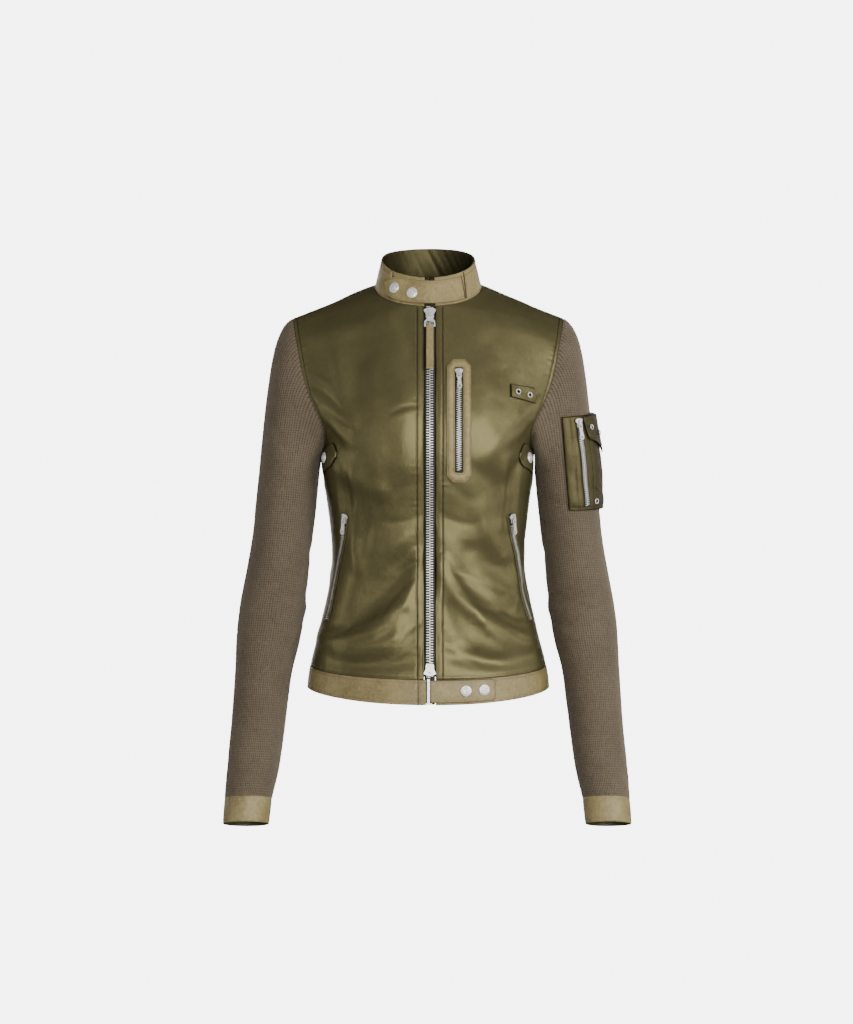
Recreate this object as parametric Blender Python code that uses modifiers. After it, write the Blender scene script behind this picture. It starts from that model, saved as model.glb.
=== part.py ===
"""A fitted racer jacket: satin body, knit sleeves, leather collar, hem band and cuffs, metal zips.

The jacket is zipped up and filled out, as on a figure that isn't there. It faces -Y, +Z is up and
+X is the wearer's left. The origin is the middle of the neck, at the height where the collar is
sewn on. Tables are in millimetres, the model is in metres.
"""
import math

import bmesh
import bpy
import numpy as np
from mathutils import Matrix, Vector
from mathutils.bvhtree import BVHTree

MM = 0.001

# ---------------------------------------------------------------- driving dimensions (mm)
SATIN = 1.5            # satin with its lining
KNIT = 2.0             # waffle knit
LEATHER = 2.2          # leather, folded over its interlining
SEAM = 0.3             # space between two pieces at a seam
SEAM_STRIP = 3.0       # narrow last strip of a panel at its seams, which sets its edge square
WELD = 0.001
ZIP_X = 2.0            # the closed main zip lies a little to the wearer's left
TAPE_HALF = 7.0        # half of the zip tape that shows between the fronts
HEM_SIDE_Z = -475.0    # seam of the hem band, at the side
HEM_FRONT_Z = -481.0   # and at the centre front
HEM_BACK_Z = -474.0

# the neckline, where the collar is sewn on
NECK_HALF = 69.0
NECK_FRONT = (-60.0, -10.0)    # y, z at the centre front
NECK_SIDE_Z = 16.0
NECK_BACK = (62.0, 30.0)

# centre front: height, depth
CENTRE_FRONT = (
    (-514, -119), (-481, -118), (-440, -115), (-400, -108), (-340, -99), (-290, -101),
    (-240, -110), (-195, -117), (-150, -115), (-100, -101), (-60, -84), (-10, -60),
)
# centre back: height, depth
CENTRE_BACK = (
    (-505, 119), (-474, 116), (-440, 112), (-400, 101), (-340, 86), (-290, 86),
    (-240, 95), (-190, 105), (-140, 110), (-90, 107), (-40, 97), (0, 80), (30, 62),
)
# side seam: height, half width, depth
SIDE = (
    (-504, 157.3, 0), (-475, 153.5, 0), (-458, 149.5, 0), (-437, 143.5, 0), (-416, 139, 1),
    (-395, 134, 2), (-374, 129.5, 3), (-350, 126, 4), (-322, 125.5, 4), (-291, 128, 3),
    (-260, 132, 2), (-229, 135.5, 1), (-197, 137.5, 0),
)
# armhole: angle from the shoulder point round by the front, x, y, z
ARMHOLE = (
    (0, 175, 0, -25), (45, 169.5, -33, -56), (90, 157.5, -49, -111), (135, 135, -56, -166),
    (180, 137.5, 0, -197), (225, 140, 52, -162), (270, 160, 46, -108), (315, 170.5, 31, -55),
)
# rows of the front, from the hem seam up: place on the centre line (0 to 1) and then along the
# neckline (1 to 2), place on the side seam (0 to 1) and the armhole (1 to 2), how far the row runs
# on from the centre and from the edge, its slopes there, and the way it turns at the edge
FRONT_ROWS = (
    # start, edge, reach_in, reach_out, swell, dip_in, turn, dip_out
    (0.00, 0.00, 94, 70, 0.00, 0.00, 90, 0.00),
    (0.15, 0.25, 86, 66, 0.00, 0.00, 90, 0.00),
    (0.32, 0.52, 76, 58, -0.02, 0.00, 90, 0.00),
    (0.50, 0.82, 86, 60, -0.08, 0.00, 90, 0.00),
    (0.60, 1.00, 92, 62, -0.12, 0.00, 90, 0.00),
    (0.69, 1.24, 80, 30, -0.12, 0.00, 60, 0.00),
    (0.82, 1.50, 62, 48, -0.06, 0.00, 34, -0.12),
    (1.00, 1.72, 46, 52, 0.00, -0.05, 22, -0.26),
    (1.50, 1.88, 40, 42, 0.06, -0.28, 10, -0.36),
    (2.00, 2.00, 35, 35, 0.00, -0.387, 0, -0.387),
)
# rows of the back, in the same way
BACK_ROWS = (
    # start, edge, reach_in, reach_out, swell, dip_in, turn, dip_out
    (0.00, 0.00, 94, 70, 0.00, 0.00, -90, 0.00),
    (0.15, 0.25, 84, 62, 0.02, 0.00, -90, 0.00),
    (0.30, 0.52, 76, 54, 0.04, 0.00, -90, 0.00),
    (0.45, 0.82, 82, 62, 0.05, 0.00, -90, 0.00),
    (0.55, 1.00, 86, 70, 0.06, 0.00, -90, 0.00),
    (0.65, 1.26, 76, 34, 0.06, 0.00, -56, 0.00),
    (0.80, 1.52, 62, 48, 0.02, -0.02, -32, -0.10),
    (1.00, 1.74, 48, 50, 0.00, -0.10, -20, -0.24),
    (1.50, 1.88, 40, 42, -0.04, -0.28, -10, -0.36),
    (2.00, 2.00, 35, 35, 0.00, -0.387, 0, -0.387),
)
FOLD_FADE = 30.0       # folds fade over this distance from the side seam
# largest folds: from x, z, to x, z, half width, height (below zero is a trough); x is the
# wearer's left when it is above zero
FRONT_FOLDS = (
    (-150, -128, -104, -166, 8, -2.6), (-142, -146, -96, -184, 8, 1.6),
    (150, -134, 112, -166, 8, -2.6), (140, -150, 104, -182, 8, 1.6),
    (-112, -212, -100, -306, 8, -2.2), (-94, -206, -84, -290, 9, 1.8),
    (114, -212, 104, -300, 8, -2.2), (96, -206, 88, -292, 9, 1.8),
    (-24, -338, -104, -414, 17, -3.8), (-20, -392, -112, -446, 14, 2.6),
    (-36, -300, -96, -338, 15, 2.0), (-16, -444, -96, -466, 10, -1.8),
    (38, -356, 112, -402, 16, -4.0), (18, -346, 92, -446, 13, 2.8),
    (24, -448, 110, -468, 10, -1.8), (34, -300, 96, -330, 15, 2.0),
)
BACK_FOLDS = (
    (-150, -128, -104, -170, 9, -2.4), (150, -128, 104, -170, 9, -2.4),
    (-108, -250, -20, -330, 15, -3.0), (108, -250, 20, -330, 15, -3.0),
    (-104, -300, -10, -368, 14, 2.4), (104, -300, 10, -368, 14, 2.4),
    (-96, -392, 40, -420, 13, -2.6), (100, -420, -20, -448, 12, 2.2),
)

# sleeve rings: height of the middle, outer x, inner x, depth of the middle, half depth, tilt
SLEEVE_RINGS = (
    (-643, 261.5, 200.5, -42.5, 34, 14.0), (-603, 258.5, 191.5, -33, 36, 13.5),
    (-562, 255.0, 186.0, -22, 38, 13.0), (-520, 252.0, 181.0, -12, 40.5, 11.5),
    (-478, 250.0, 175.0, -3, 43, 9.0), (-447, 248.7, 167.0, 3, 44.5, 6.5),
    (-416, 246.4, 161.0, 6.5, 45.5, 4.0), (-395, 243.6, 158.4, 7.5, 46, 2.5),
    (-354, 235.5, 154.7, 7, 47, 1.0), (-312, 228.3, 149.5, 6, 49, 0.0),
    (-270, 223.3, 144.6, 5, 50.5, 0.0), (-229, 219.0, 140.4, 4, 52, 0.0),
)
CUFF_RINGS = (
    (-676, 263.5, 204.0, -50.5, 33, 15.0), (-643, 261.5, 200.5, -42.5, 34.6, 14.0),
)
SLEEVE_SWING = {"right": 1.3, "left": -1.3}    # the wearer's right arm stands off a little more
CAP_REACH = (31.0, 118.0)     # how far the sleeve head runs on from the seam and from the arm
PIT_REACH = (9.0, 11.0)       # the same under the arm
SLEEVE_FOLDS = (
    # height, angle from the outside round by the front, half height, half angle, height of fold
    (-384, 120, 7, 60, -2.2), (-402, 150, 7, 55, 1.8), (-420, 130, 6, 50, -1.6),
    (-560, 100, 8, 45, -1.2), (-600, 60, 8, 45, -1.2), (-330, 200, 8, 50, -1.5),
)

# collar
COLLAR_RIM_HALF = 60.0
COLLAR_RIM_Y = (4.0, 54.0)          # middle and half depth
COLLAR_RIM_Z = (52.0, -25.5, 15.5)  # at the side, fall to the front, rise to the back
STRAP = (                           # collar strap: angle, lower and upper edge up the collar
    (-60, 0.46, 0.56), (-47, 0.07, 0.87), (-30, 0.07, 0.87), (-10, 0.07, 0.87),
    (10, 0.07, 0.87), (28, 0.07, 0.87), (44, 0.07, 0.87),
)
STRAP_SNAPS = ((-40.0, 0.45), (-17.7, 0.40))    # angle, place up the collar

# hem band: bottom edge at the centre front, the side and the centre back
BAND_FRONT = (-119.5, -514.0)
BAND_SIDE = (157.3, -504.0)
BAND_BACK = (119.0, -505.0)
BAND_PROUD = 0.6
HEM_TAB = (3.6, 85.0)               # from x to x
HEM_TAB_EDGES = (0.04, 0.9)         # down the band
HEM_SNAPS = ((47.5, 0.45), (70.5, 0.45))        # x, place down the band

# laid-on pieces
LIFT = 0.35                         # space between a piece and what it lies on
TAB = 1.6                           # satin tab, doubled
SURROUND = 1.6                      # leather of the chest pocket
CHEST_MIDDLE_X = 38.5
CHEST_OUTER = (15.4, -78.5, -233.0, 8.0, 9.0)   # half width, top, bottom, cut corner across, down
CHEST_OPENING = (5.2, -89.0, -220.0)
EYELET_TAB = ((103.5, -109.4), (103.9, -125.8), (136.0, -134.5), (135.0, -114.6))
TAB_EYELETS = ((113.9, -119.1), (128.6, -123.2))
EYELET = (2.9, 0.85)                # radius of the ring, radius of its wire
SIDE_TAB = (                        # angle from the front, lower and upper edge
    (58, -203, -196), (62, -214, -185), (67, -218, -187), (72, -222, -192), (77, -226, -197),
)
SIDE_SNAP = (69.5, -204.0)
SIDE_ZIP = (                        # height, angle from the front
    (-414, 72.5), (-391, 71.5), (-370, 72), (-348, 71), (-331, 68), (-309, 63.5), (-275, 57.5),
)

# zips: half width of the tape that shows, half width and height of the chain
MAIN_ZIP = (6.7, 4.2, 2.0)
POCKET_ZIP = (4.6, 2.9, 1.5)
MAIN_CHAIN = (-479.0, -14.0)
PIN = (0.4, 3.4, -513.0)            # middle, width, lower end
PIN_FOOT = (8.6, 1.8)

# sleeve pocket, on the wearer's left: angle round the arm, height
POCKET_ANGLES = (92.0, -38.0)
POCKET_HEIGHTS = (-271.5, -152.0)
POCKET_RISE = 5.0                   # the upper edge climbs to the outside
POCKET_WALL = (2.2, 7.0)            # height at its edge and more at its middle
ARM_AXIS = ((-290, 184, 5), (-229, 178.5, 4), (-140, 171, 2))   # height, x, y
POCKET_ZIP_AT = ((0.19, 0.04), (0.16, 0.97))
FLAP = (                            # across the pocket, lower edge; the upper edge is at its top
    (0.27, 0.97), (0.34, 0.74), (0.53, 0.67), (0.72, 0.60), (0.86, 0.67), (0.98, 0.74),
)
FLAP_TOP = 1.03
FLAP_EYELETS = ((0.46, 0.90), (0.72, 0.80))
POCKET_EYELET = (0.62, 0.08)

# snap cap: radius and height down its outer side
SNAP = ((0.0, 2.7), (3.2, 2.5), (5.8, 1.7), (7.2, 0.5), (7.2, 0.0), (0.0, 0.0))
# slider body outline, half of it, for a body one unit wide and one long
SLIDER_OUTLINE = (
    (0.20, 0.50), (0.36, 0.44), (0.50, 0.36), (0.46, 0.20), (0.31, -0.08), (0.34, -0.34), (0.28, -0.50),
)
MAIN_SLIDER = (15.6, 14.5)          # width, length
POCKET_SLIDER = (10.4, 12.0)
PLATE = 1.5
PIVOT_UP = 1.5                      # pull's pin above the slider's plate
BRIDGE = ((4.5, 2.4), (3.0, 3.6), (3.3, 2.6), (1.0, 0.0))  # outer shoulder, top, window, half width
PULL_THICK = 1.1
SLIDER_LIFT = LIFT * 2 + 0.3 + POCKET_ZIP[2] + PLATE + PIVOT_UP  # pull's pin above the panel


# ---------------------------------------------------------------- helpers
def read(table, key):
    """Every column of a table at a key between its rows, on a smooth cubic."""
    rows = np.asarray(table, float)
    keys, values = rows[:, 0], rows[:, 1:]
    slopes = np.gradient(values, keys, axis=0)
    i = int(np.clip(np.searchsorted(keys, key) - 1, 0, len(keys) - 2))
    step = keys[i + 1] - keys[i]
    f = (key - keys[i]) / step
    return (
        values[i] * (1 + 2 * f) * (1 - f) ** 2
        + slopes[i] * step * f * (1 - f) ** 2
        + values[i + 1] * f * f * (3 - 2 * f)
        + slopes[i + 1] * step * f * f * (f - 1)
    )


def armhole(angle):
    """A point of the left armhole seam; 0 is the shoulder point, 90 the front, 180 the underarm."""
    around = [(row[0] + turn, *row[1:]) for turn in (-360, 0, 360) for row in ARMHOLE]
    return read(around, angle % 360)


def neckline(f, front, first_angle=0.0):
    """A point of the left half of the neckline; f runs from the centre to the shoulder seam."""
    angle = math.radians(first_angle + (90 - first_angle) * f)
    y, z = NECK_FRONT if front else NECK_BACK
    c = math.cos(angle)
    return np.array([NECK_HALF * math.sin(angle), y * c, NECK_SIDE_Z + (z - NECK_SIDE_Z) * c])


def start_path(p, front, edge_x):
    """Centre line from the hem (0) to the neck (1), then the neckline to the shoulder (2)."""
    if p > 1:
        first = math.degrees(math.asin(edge_x / NECK_HALF))
        return neckline(p - 1, front, first)
    bottom, top = (HEM_FRONT_Z, NECK_FRONT[1]) if front else (HEM_BACK_Z, NECK_BACK[1])
    z = bottom + (top - bottom) * p
    return np.array([edge_x, read(CENTRE_FRONT if front else CENTRE_BACK, z)[0], z])


def edge_path(q, front):
    """Side seam from the hem (0) to the underarm (1), then the armhole to the shoulder (2)."""
    if q > 1:
        return armhole(180 * (2 - q) if front else 180 * q)
    top = armhole(180)
    z = HEM_SIDE_Z + (top[2] - HEM_SIDE_Z) * q
    x, y = read(SIDE, z)
    return np.array([x, y, z])


def bezier(points, f):
    """A point of a cubic Bezier curve."""
    a, b, c, d = points
    g = 1 - f
    return a * g ** 3 + 3 * b * f * g * g + 3 * c * f * f * g + d * f ** 3


def row_curve(start, edge, reach_in, reach_out, swell, dip_in, turn, dip_out):
    """The four points of the curve of one row, from its start to the edge."""
    turn = math.radians(turn)
    d_in = np.array([1.0, swell, dip_in])
    d_out = np.array([math.cos(turn), math.sin(turn), dip_out])
    return (start, start + d_in * reach_in, edge - d_out * reach_out, edge)


def panel_point(p, u, front, edge_x):
    """A point of the left half of the front or the back; u runs from the centre to the edge."""
    q, reach_in, reach_out, swell, dip_in, turn, dip_out = read(FRONT_ROWS if front else BACK_ROWS, p)
    start, edge = start_path(p, front, edge_x), edge_path(q, front)
    return bezier(row_curve(start, edge, reach_in, reach_out, swell, dip_in, turn, dip_out), u)


def row_places(body_steps, neck_steps):
    """Places of the rows: even steps up to the neck, then even steps of angle round the neckline."""
    return np.concatenate([
        np.linspace(0, 1, body_steps + 1)[:-1],
        np.linspace(1, 2, neck_steps + 1)[:-1],
        [2 - SEAM_STRIP / 100, 2],
    ])


def column_places(columns):
    """Places of the columns: even steps, then a narrow strip at the seam."""
    last = 1 - SEAM / 2 / 200
    return np.concatenate([np.linspace(0, 1 - SEAM_STRIP / 200, columns - 1), [last]])


def fold_height(x, z, folds):
    """Sum of the folds at a place of a panel, seen from in front."""
    total = 0.0
    for x0, z0, x1, z1, half, height in folds:
        a, b = np.array([x0, z0], float), np.array([x1, z1], float)
        along = b - a
        f = float(np.dot(np.array([x, z]) - a, along) / np.dot(along, along))
        near = a + along * min(max(f, 0.0), 1.0)
        d = math.hypot(x - near[0], z - near[1])
        total += height * math.exp(-(d / half) ** 2) * (1 - 0.35 * abs(2 * min(max(f, 0), 1) - 1))
    return total


def add_folds(grid, sign, folds):
    """Move a panel's points out and in by its folds, which fade at the side seam."""
    normals = grid_normals(grid)
    normals[np.abs(grid[..., 0]) < WELD, 0] = 0
    edge = grid[:, np.argmax(np.abs(grid[0, :, 0]))].copy()
    for r, row in enumerate(grid):
        for c, (x, _, z) in enumerate(row):
            fade = min(1.0, float(np.linalg.norm(grid[r, c] - edge[r])) / FOLD_FADE)
            grid[r, c] = grid[r, c] + normals[r, c] * fold_height(sign * x, z, folds) * fade


def grid_normals(grid, closed=False):
    """Unit normals of a grid of points, across its rows and columns."""
    if closed:
        du = np.roll(grid, -1, axis=1) - np.roll(grid, 1, axis=1)
    else:
        du = np.gradient(grid, axis=1)
    dv = np.gradient(grid, axis=0)
    normals = np.cross(du, dv)
    return normals / np.maximum(np.linalg.norm(normals, axis=2, keepdims=True), 1e-9)


def new_object(name, mesh_builder, material):
    """An object in the jacket's collection from a bmesh that the builder fills."""
    bm = bmesh.new()
    mesh_builder(bm)
    mesh = bpy.data.meshes.new(name)
    bm.to_mesh(mesh)
    bm.free()
    mesh.materials.append(material)
    obj = bpy.data.objects.new(name, mesh)
    JACKET.objects.link(obj)
    mesh.shade_smooth()
    return obj


def sheet_mesh(bm, grids, closed=False):
    """Faces between the points (mm) of grids, welded where they meet; a closed one is a tube."""
    for grid in grids:
        rows, columns = grid.shape[:2]
        verts = [[bm.verts.new(Vector(p) * MM) for p in row] for row in grid]
        for r in range(rows - 1):
            for c in range(columns if closed else columns - 1):
                d = (c + 1) % columns
                bm.faces.new((verts[r][c], verts[r][d], verts[r + 1][d], verts[r + 1][c]))
    bmesh.ops.remove_doubles(bm, verts=bm.verts, dist=WELD * MM)


def cloth(name, grids, thickness, material, closed=False):
    """A wall of cloth: the grids are its outer side, and its thickness goes inward."""
    obj = new_object(name, lambda bm: sheet_mesh(bm, grids, closed), material)
    solidify = obj.modifiers.new("wall", "SOLIDIFY")
    solidify.thickness = thickness * MM
    solidify.offset = -1
    solidify.use_even_offset = True
    return obj


def colour_material(name, colour, roughness, metallic=0.0):
    """A Principled material of one colour."""
    material = bpy.data.materials.new(name)
    material.use_nodes = True
    shader = material.node_tree.nodes["Principled BSDF"]
    shader.inputs["Base Color"].default_value = (*colour, 1)
    shader.inputs["Roughness"].default_value = roughness
    shader.inputs["Metallic"].default_value = metallic
    material.diffuse_color = (*colour, 1)
    return material


def slab(name, outer, inner, material):
    """A solid between two grids of points (mm), such as a piece that lies on a panel."""
    def build(bm):
        rows, columns = outer.shape[:2]
        far = [[bm.verts.new(Vector(p) * MM) for p in row] for row in outer]
        near = [[bm.verts.new(Vector(p) * MM) for p in row] for row in inner]
        for r in range(rows - 1):
            for c in range(columns - 1):
                bm.faces.new((far[r][c], far[r][c + 1], far[r + 1][c + 1], far[r + 1][c]))
                bm.faces.new((near[r + 1][c], near[r + 1][c + 1], near[r][c + 1], near[r][c]))
        rim = [(0, c) for c in range(columns - 1)] + [(r, columns - 1) for r in range(rows - 1)]
        rim += [(rows - 1, c) for c in range(columns - 1, 0, -1)] + [(r, 0) for r in range(rows - 1, 0, -1)]
        for (r0, c0), (r1, c1) in zip(rim, rim[1:] + rim[:1]):
            bm.faces.new((near[r0][c0], near[r1][c1], far[r1][c1], far[r0][c0]))
    return new_object(name, build, material)


def surface(*grids):
    """A surface that rays can meet, from grids of points (mm)."""
    verts, faces = [], []
    for grid in grids:
        rows, columns = grid.shape[:2]
        first = len(verts)
        verts += [Vector(p) for row in grid for p in row]
        for r in range(rows - 1):
            for c in range(columns - 1):
                a = first + r * columns + c
                faces.append((a, a + 1, a + columns + 1, a + columns))
    return BVHTree.FromPolygons(verts, faces)


def meet(tree, start, target):
    """Where a ray meets a surface, and the surface's normal there, turned towards the ray."""
    start, target = Vector(start), Vector(target)
    point, normal, _, _ = tree.ray_cast(start, (target - start).normalized())
    if normal.dot(target - start) > 0:
        normal = -normal
    return np.array(point), np.array(normal)


def settled(tree, places, lift, closed=False):
    """A grid of points over a surface, raised where the sheet between them would touch it."""
    points = np.array([[point for point, _ in row] for row in places])
    normals = np.array([[normal for _, normal in row] for row in places])
    height = np.full(points.shape[:2], float(lift))
    rows, columns = height.shape
    parts = np.linspace(0, 1, 5)
    for _ in range(6):
        grid = points + normals * height[..., None]
        short = np.zeros_like(height)
        for r in range(rows - 1):
            for c in range(columns if closed else columns - 1):
                corners = ((r, c), (r, (c + 1) % columns), (r + 1, c), (r + 1, (c + 1) % columns))
                a, b, d, e = (grid[corner] for corner in corners)
                for f in parts:
                    for g in parts:
                        p = Vector((a * (1 - g) + b * g) * (1 - f) + (d * (1 - g) + e * g) * f)
                        near, normal, _, _ = tree.find_nearest(p)
                        side = 1 if normal.dot(Vector(normals[r, c])) > 0 else -1
                        lack = 0.85 * lift - side * (p - near).dot(normal)
                        for corner in corners:
                            short[corner] = max(short[corner], lack)
        if short.max() < 0.01:
            break
        height += short
    return points + normals * height[..., None], normals


def seat(tree, start, target, radius):
    """Where a round piece sits on a surface: its middle, just clear all round, and the direction out."""
    point, normal = meet(tree, start, target)
    for _ in range(2):
        across = np.cross([0, 0, 1], normal)
        across = across / np.linalg.norm(across)
        up = np.cross(normal, across)
        rim = []
        for a in np.linspace(0, 2 * math.pi, 12, endpoint=False):
            over = point + radius * (across * math.cos(a) + up * math.sin(a)) + normal * 20
            rim.append(meet(tree, over, over - normal)[0])
        normal = np.cross(rim[0] - rim[6], rim[3] - rim[9])
        normal = normal / np.linalg.norm(normal)
    high = max(np.dot(p - point, normal) for p in rim + [point])
    return point + normal * high, normal


def outline_mesh(loops, thickness):
    """A mesh of a flat outline (mm) with holes, of a thickness, about its own middle plane."""
    curve = bpy.data.curves.new("outline", "CURVE")
    curve.dimensions = "2D"
    curve.fill_mode = "BOTH"
    curve.extrude = thickness * MM / 2
    for loop in loops:
        spline = curve.splines.new("POLY")
        spline.points.add(len(loop) - 1)
        for point, (x, y) in zip(spline.points, loop):
            point.co = (x * MM, y * MM, 0, 1)
        spline.use_cyclic_u = True
    flat = bpy.data.objects.new("outline", curve)
    JACKET.objects.link(flat)
    bpy.context.view_layer.update()
    mesh = bpy.data.meshes.new_from_object(flat.evaluated_get(bpy.context.evaluated_depsgraph_get()))
    bpy.data.objects.remove(flat, do_unlink=True)
    bm = bmesh.new()
    bm.from_mesh(mesh)
    bmesh.ops.remove_doubles(bm, verts=bm.verts, dist=WELD * MM)
    bmesh.ops.recalc_face_normals(bm, faces=bm.faces)
    bm.to_mesh(mesh)
    bm.free()
    return mesh


def stand(point, normal, up, lift=0.0):
    """A place on a surface (mm): x across, y up, z out of it."""
    out = Vector(normal).normalized()
    across = Vector(up).cross(out).normalized()
    up = out.cross(across)
    place = Vector(point) + out * lift
    return Matrix.Translation(place * MM) @ Matrix((across, up, out)).transposed().to_4x4()


def placed(name, mesh, matrix, material):
    """An object with a mesh at a place."""
    mesh.materials.clear()
    mesh.materials.append(material)
    obj = bpy.data.objects.new(name, mesh)
    JACKET.objects.link(obj)
    obj.matrix_world = matrix
    mesh.shade_smooth()
    mesh.set_sharp_from_angle(angle=math.radians(35))
    return obj


def circle(x, y, radius, count=10):
    """A round loop."""
    return [
        (x + radius * math.cos(2 * math.pi * i / count), y + radius * math.sin(2 * math.pi * i / count))
        for i in range(count)
    ]


def mirrored(grid):
    """The same grid on the wearer's right, with its columns turned to keep its outer side."""
    flipped = grid[:, ::-1].copy()
    flipped[..., 0] *= -1
    return flipped


# ---------------------------------------------------------------- body
BODY_STEPS = 22
NECK_STEPS = 8         # from the centre to the shoulder seam; the collar has the same
FRONT_COLUMNS = 13
BACK_COLUMNS = 10      # on each side of the centre


def front_edge_x(side):
    """Distance of a front's edge beside the zip from the middle of the body."""
    return TAPE_HALF + SEAM + (ZIP_X if side == "left" else -ZIP_X)


def front_grid(side, body_steps=BODY_STEPS, neck_steps=NECK_STEPS, columns=FRONT_COLUMNS):
    """Outer side of a front, from beside the zip to the side seam and armhole."""
    sign = 1 if side == "left" else -1
    edge_x = front_edge_x(side)
    places = row_places(body_steps, neck_steps)
    grid = np.array([
        [panel_point(p, u, True, edge_x) for u in column_places(columns)] for p in places
    ])
    grid[-1, :, 1] -= SEAM / 2
    add_folds(grid, sign, FRONT_FOLDS)
    return grid if side == "left" else mirrored(grid)


def back_grids(body_steps=BODY_STEPS, neck_steps=NECK_STEPS, columns=BACK_COLUMNS):
    """Outer side of the two halves of the back, which join up to the neck."""
    grids = []
    for sign in (1, -1):
        half = np.array([
            [panel_point(p, u, False, 0.0) for u in column_places(columns)]
            for p in row_places(body_steps, neck_steps)
        ])
        half[-1, :, 1] += SEAM / 2
        half = half[:, ::-1]
        add_folds(half, sign, BACK_FOLDS)
        grids.append(half if sign == 1 else mirrored(half))
    return grids


def make_body():
    """The two fronts and the back."""
    for side in ("right", "left"):
        cloth(f"front_{side}", [front_grid(side)], SATIN, SATIN_OLIVE)
    cloth("back", back_grids(), SATIN, SATIN_OLIVE)


# ---------------------------------------------------------------- sleeves
SLEEVE_COLUMNS = 18
ARM_ROWS = 16
CAP_ROWS = 7


def arm_ring(table, z, side, columns=SLEEVE_COLUMNS):
    """A ring of the arm, from the outside round by the front."""
    outer, inner, y, half_depth, tilt = read(table, z)
    middle, half = (outer + inner) / 2 + SLEEVE_SWING[side], (outer - inner) / 2
    tilt = math.radians(tilt)
    ring = []
    for i in range(columns):
        a = 2 * math.pi * i / columns
        c, s = math.cos(a), math.sin(a)
        dy = -half_depth * s
        ring.append((middle + half * c, y + dy * math.cos(tilt), z - dy * math.sin(tilt)))
    return np.array(ring)


def sleeve_grid(side, arm_rows=ARM_ROWS, cap_rows=CAP_ROWS, columns=SLEEVE_COLUMNS):
    """Outer side of a sleeve, from the cuff seam up to the armhole (wearer's left)."""
    heights = np.linspace(SLEEVE_RINGS[0][0] + SEAM, SLEEVE_RINGS[-1][0], arm_rows)
    arm = [arm_ring(SLEEVE_RINGS, z, side, columns) for z in heights]
    top, below = arm[-1], arm[-2]
    cap = []
    for r in range(1, cap_rows + 1):
        f = r / cap_rows
        ring = []
        for i in range(columns):
            a = 360 * i / columns
            high = (1 + math.cos(math.radians(a))) / 2
            seam = armhole(a)
            down = math.radians(80 - 54 * high)
            outward = np.array([math.cos(down), -0.22 * math.sin(math.radians(a)), -math.sin(down)])
            seam = seam + outward * SEAM * 2.4
            upward = (top[i] - below[i]) / np.linalg.norm(top[i] - below[i])
            reach_arm = PIT_REACH[1] + (CAP_REACH[1] - PIT_REACH[1]) * high
            reach_seam = PIT_REACH[0] + (CAP_REACH[0] - PIT_REACH[0]) * high
            curve = (top[i], top[i] + upward * reach_arm, seam + outward * reach_seam, seam)
            ring.append(bezier(curve, f))
        cap.append(ring)
    grid = np.concatenate([np.array(arm), np.array(cap)])
    normals = grid_normals(grid, True)
    for r, row in enumerate(grid):
        for c, point in enumerate(row):
            angle = 360 * c / columns
            total = 0.0
            for z, at, half_z, half_a, height in SLEEVE_FOLDS:
                turn = (angle - at + 180) % 360 - 180
                total += height * math.exp(-((point[2] - z) / half_z) ** 2 - (turn / half_a) ** 2)
            grid[r, c] = point - normals[r, c] * total
    return grid


def make_sleeves():
    """The two knit sleeves and their leather cuffs."""
    for side in ("right", "left"):
        grid = sleeve_grid(side)[::-1]
        cuff = np.array([arm_ring(CUFF_RINGS, z, side) for z in np.linspace(CUFF_RINGS[1][0] - SEAM,
                                                                          CUFF_RINGS[0][0], 3)])
        if side == "right":
            grid, cuff = mirrored(grid), mirrored(cuff)
        cloth(f"sleeve_{side}", [grid], KNIT, KNIT_TAUPE, closed=True)
        cloth(f"cuff_{side}", [cuff], LEATHER, LEATHER_KHAKI, closed=True)


# ---------------------------------------------------------------- collar and hem band
def collar_point(angle, f):
    """A point of the collar's outer side: angle 0 is the centre front, f runs up from the seam."""
    a = math.radians(angle)
    c, s = math.cos(a), math.sin(a)
    y, z = NECK_FRONT if c > 0 else NECK_BACK
    low = np.array([NECK_HALF * s, y * abs(c), NECK_SIDE_Z + (z - NECK_SIDE_Z) * abs(c)])
    side_z, fall, rise = COLLAR_RIM_Z
    rim_z = side_z + (fall * c if c > 0 else rise * abs(c) ** 0.75)
    middle, half = COLLAR_RIM_Y
    high = np.array([COLLAR_RIM_HALF * s, middle - half * c, rim_z])
    return low + (high - low) * f


def collar_angles(neck_steps=NECK_STEPS):
    """Angles of the collar's columns, each at a row of the fronts or the back."""
    first = math.degrees(math.asin(front_edge_x("left") / NECK_HALF))
    last = 360 - math.degrees(math.asin(front_edge_x("right") / NECK_HALF))
    return np.concatenate([
        np.linspace(first, 90, neck_steps + 1)[:-1],
        np.linspace(90, 270, 2 * neck_steps + 1)[:-1],
        np.linspace(270, last, neck_steps + 1),
    ])


def collar_grid(rows=4, inset=0.0, low=0.0, high=1.0):
    """Outer side of the collar band, from its left end round the back to its right end."""
    grid = np.array([
        [collar_point(a, f) for a in collar_angles()] for f in np.linspace(low, high, rows)
    ])
    grid[0, :, 2] += SEAM
    if inset:
        grid = grid - grid_normals(grid) * inset
    return grid


def on_collar(angle, f):
    """A point on the collar's outer side, and the direction out."""
    point = collar_point(angle, f)
    around = collar_point(angle + 1, f) - collar_point(angle - 1, f)
    rise = collar_point(angle, f + 0.05) - collar_point(angle, f - 0.05)
    out = np.cross(around, rise)
    return point, out / np.linalg.norm(out)


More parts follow.
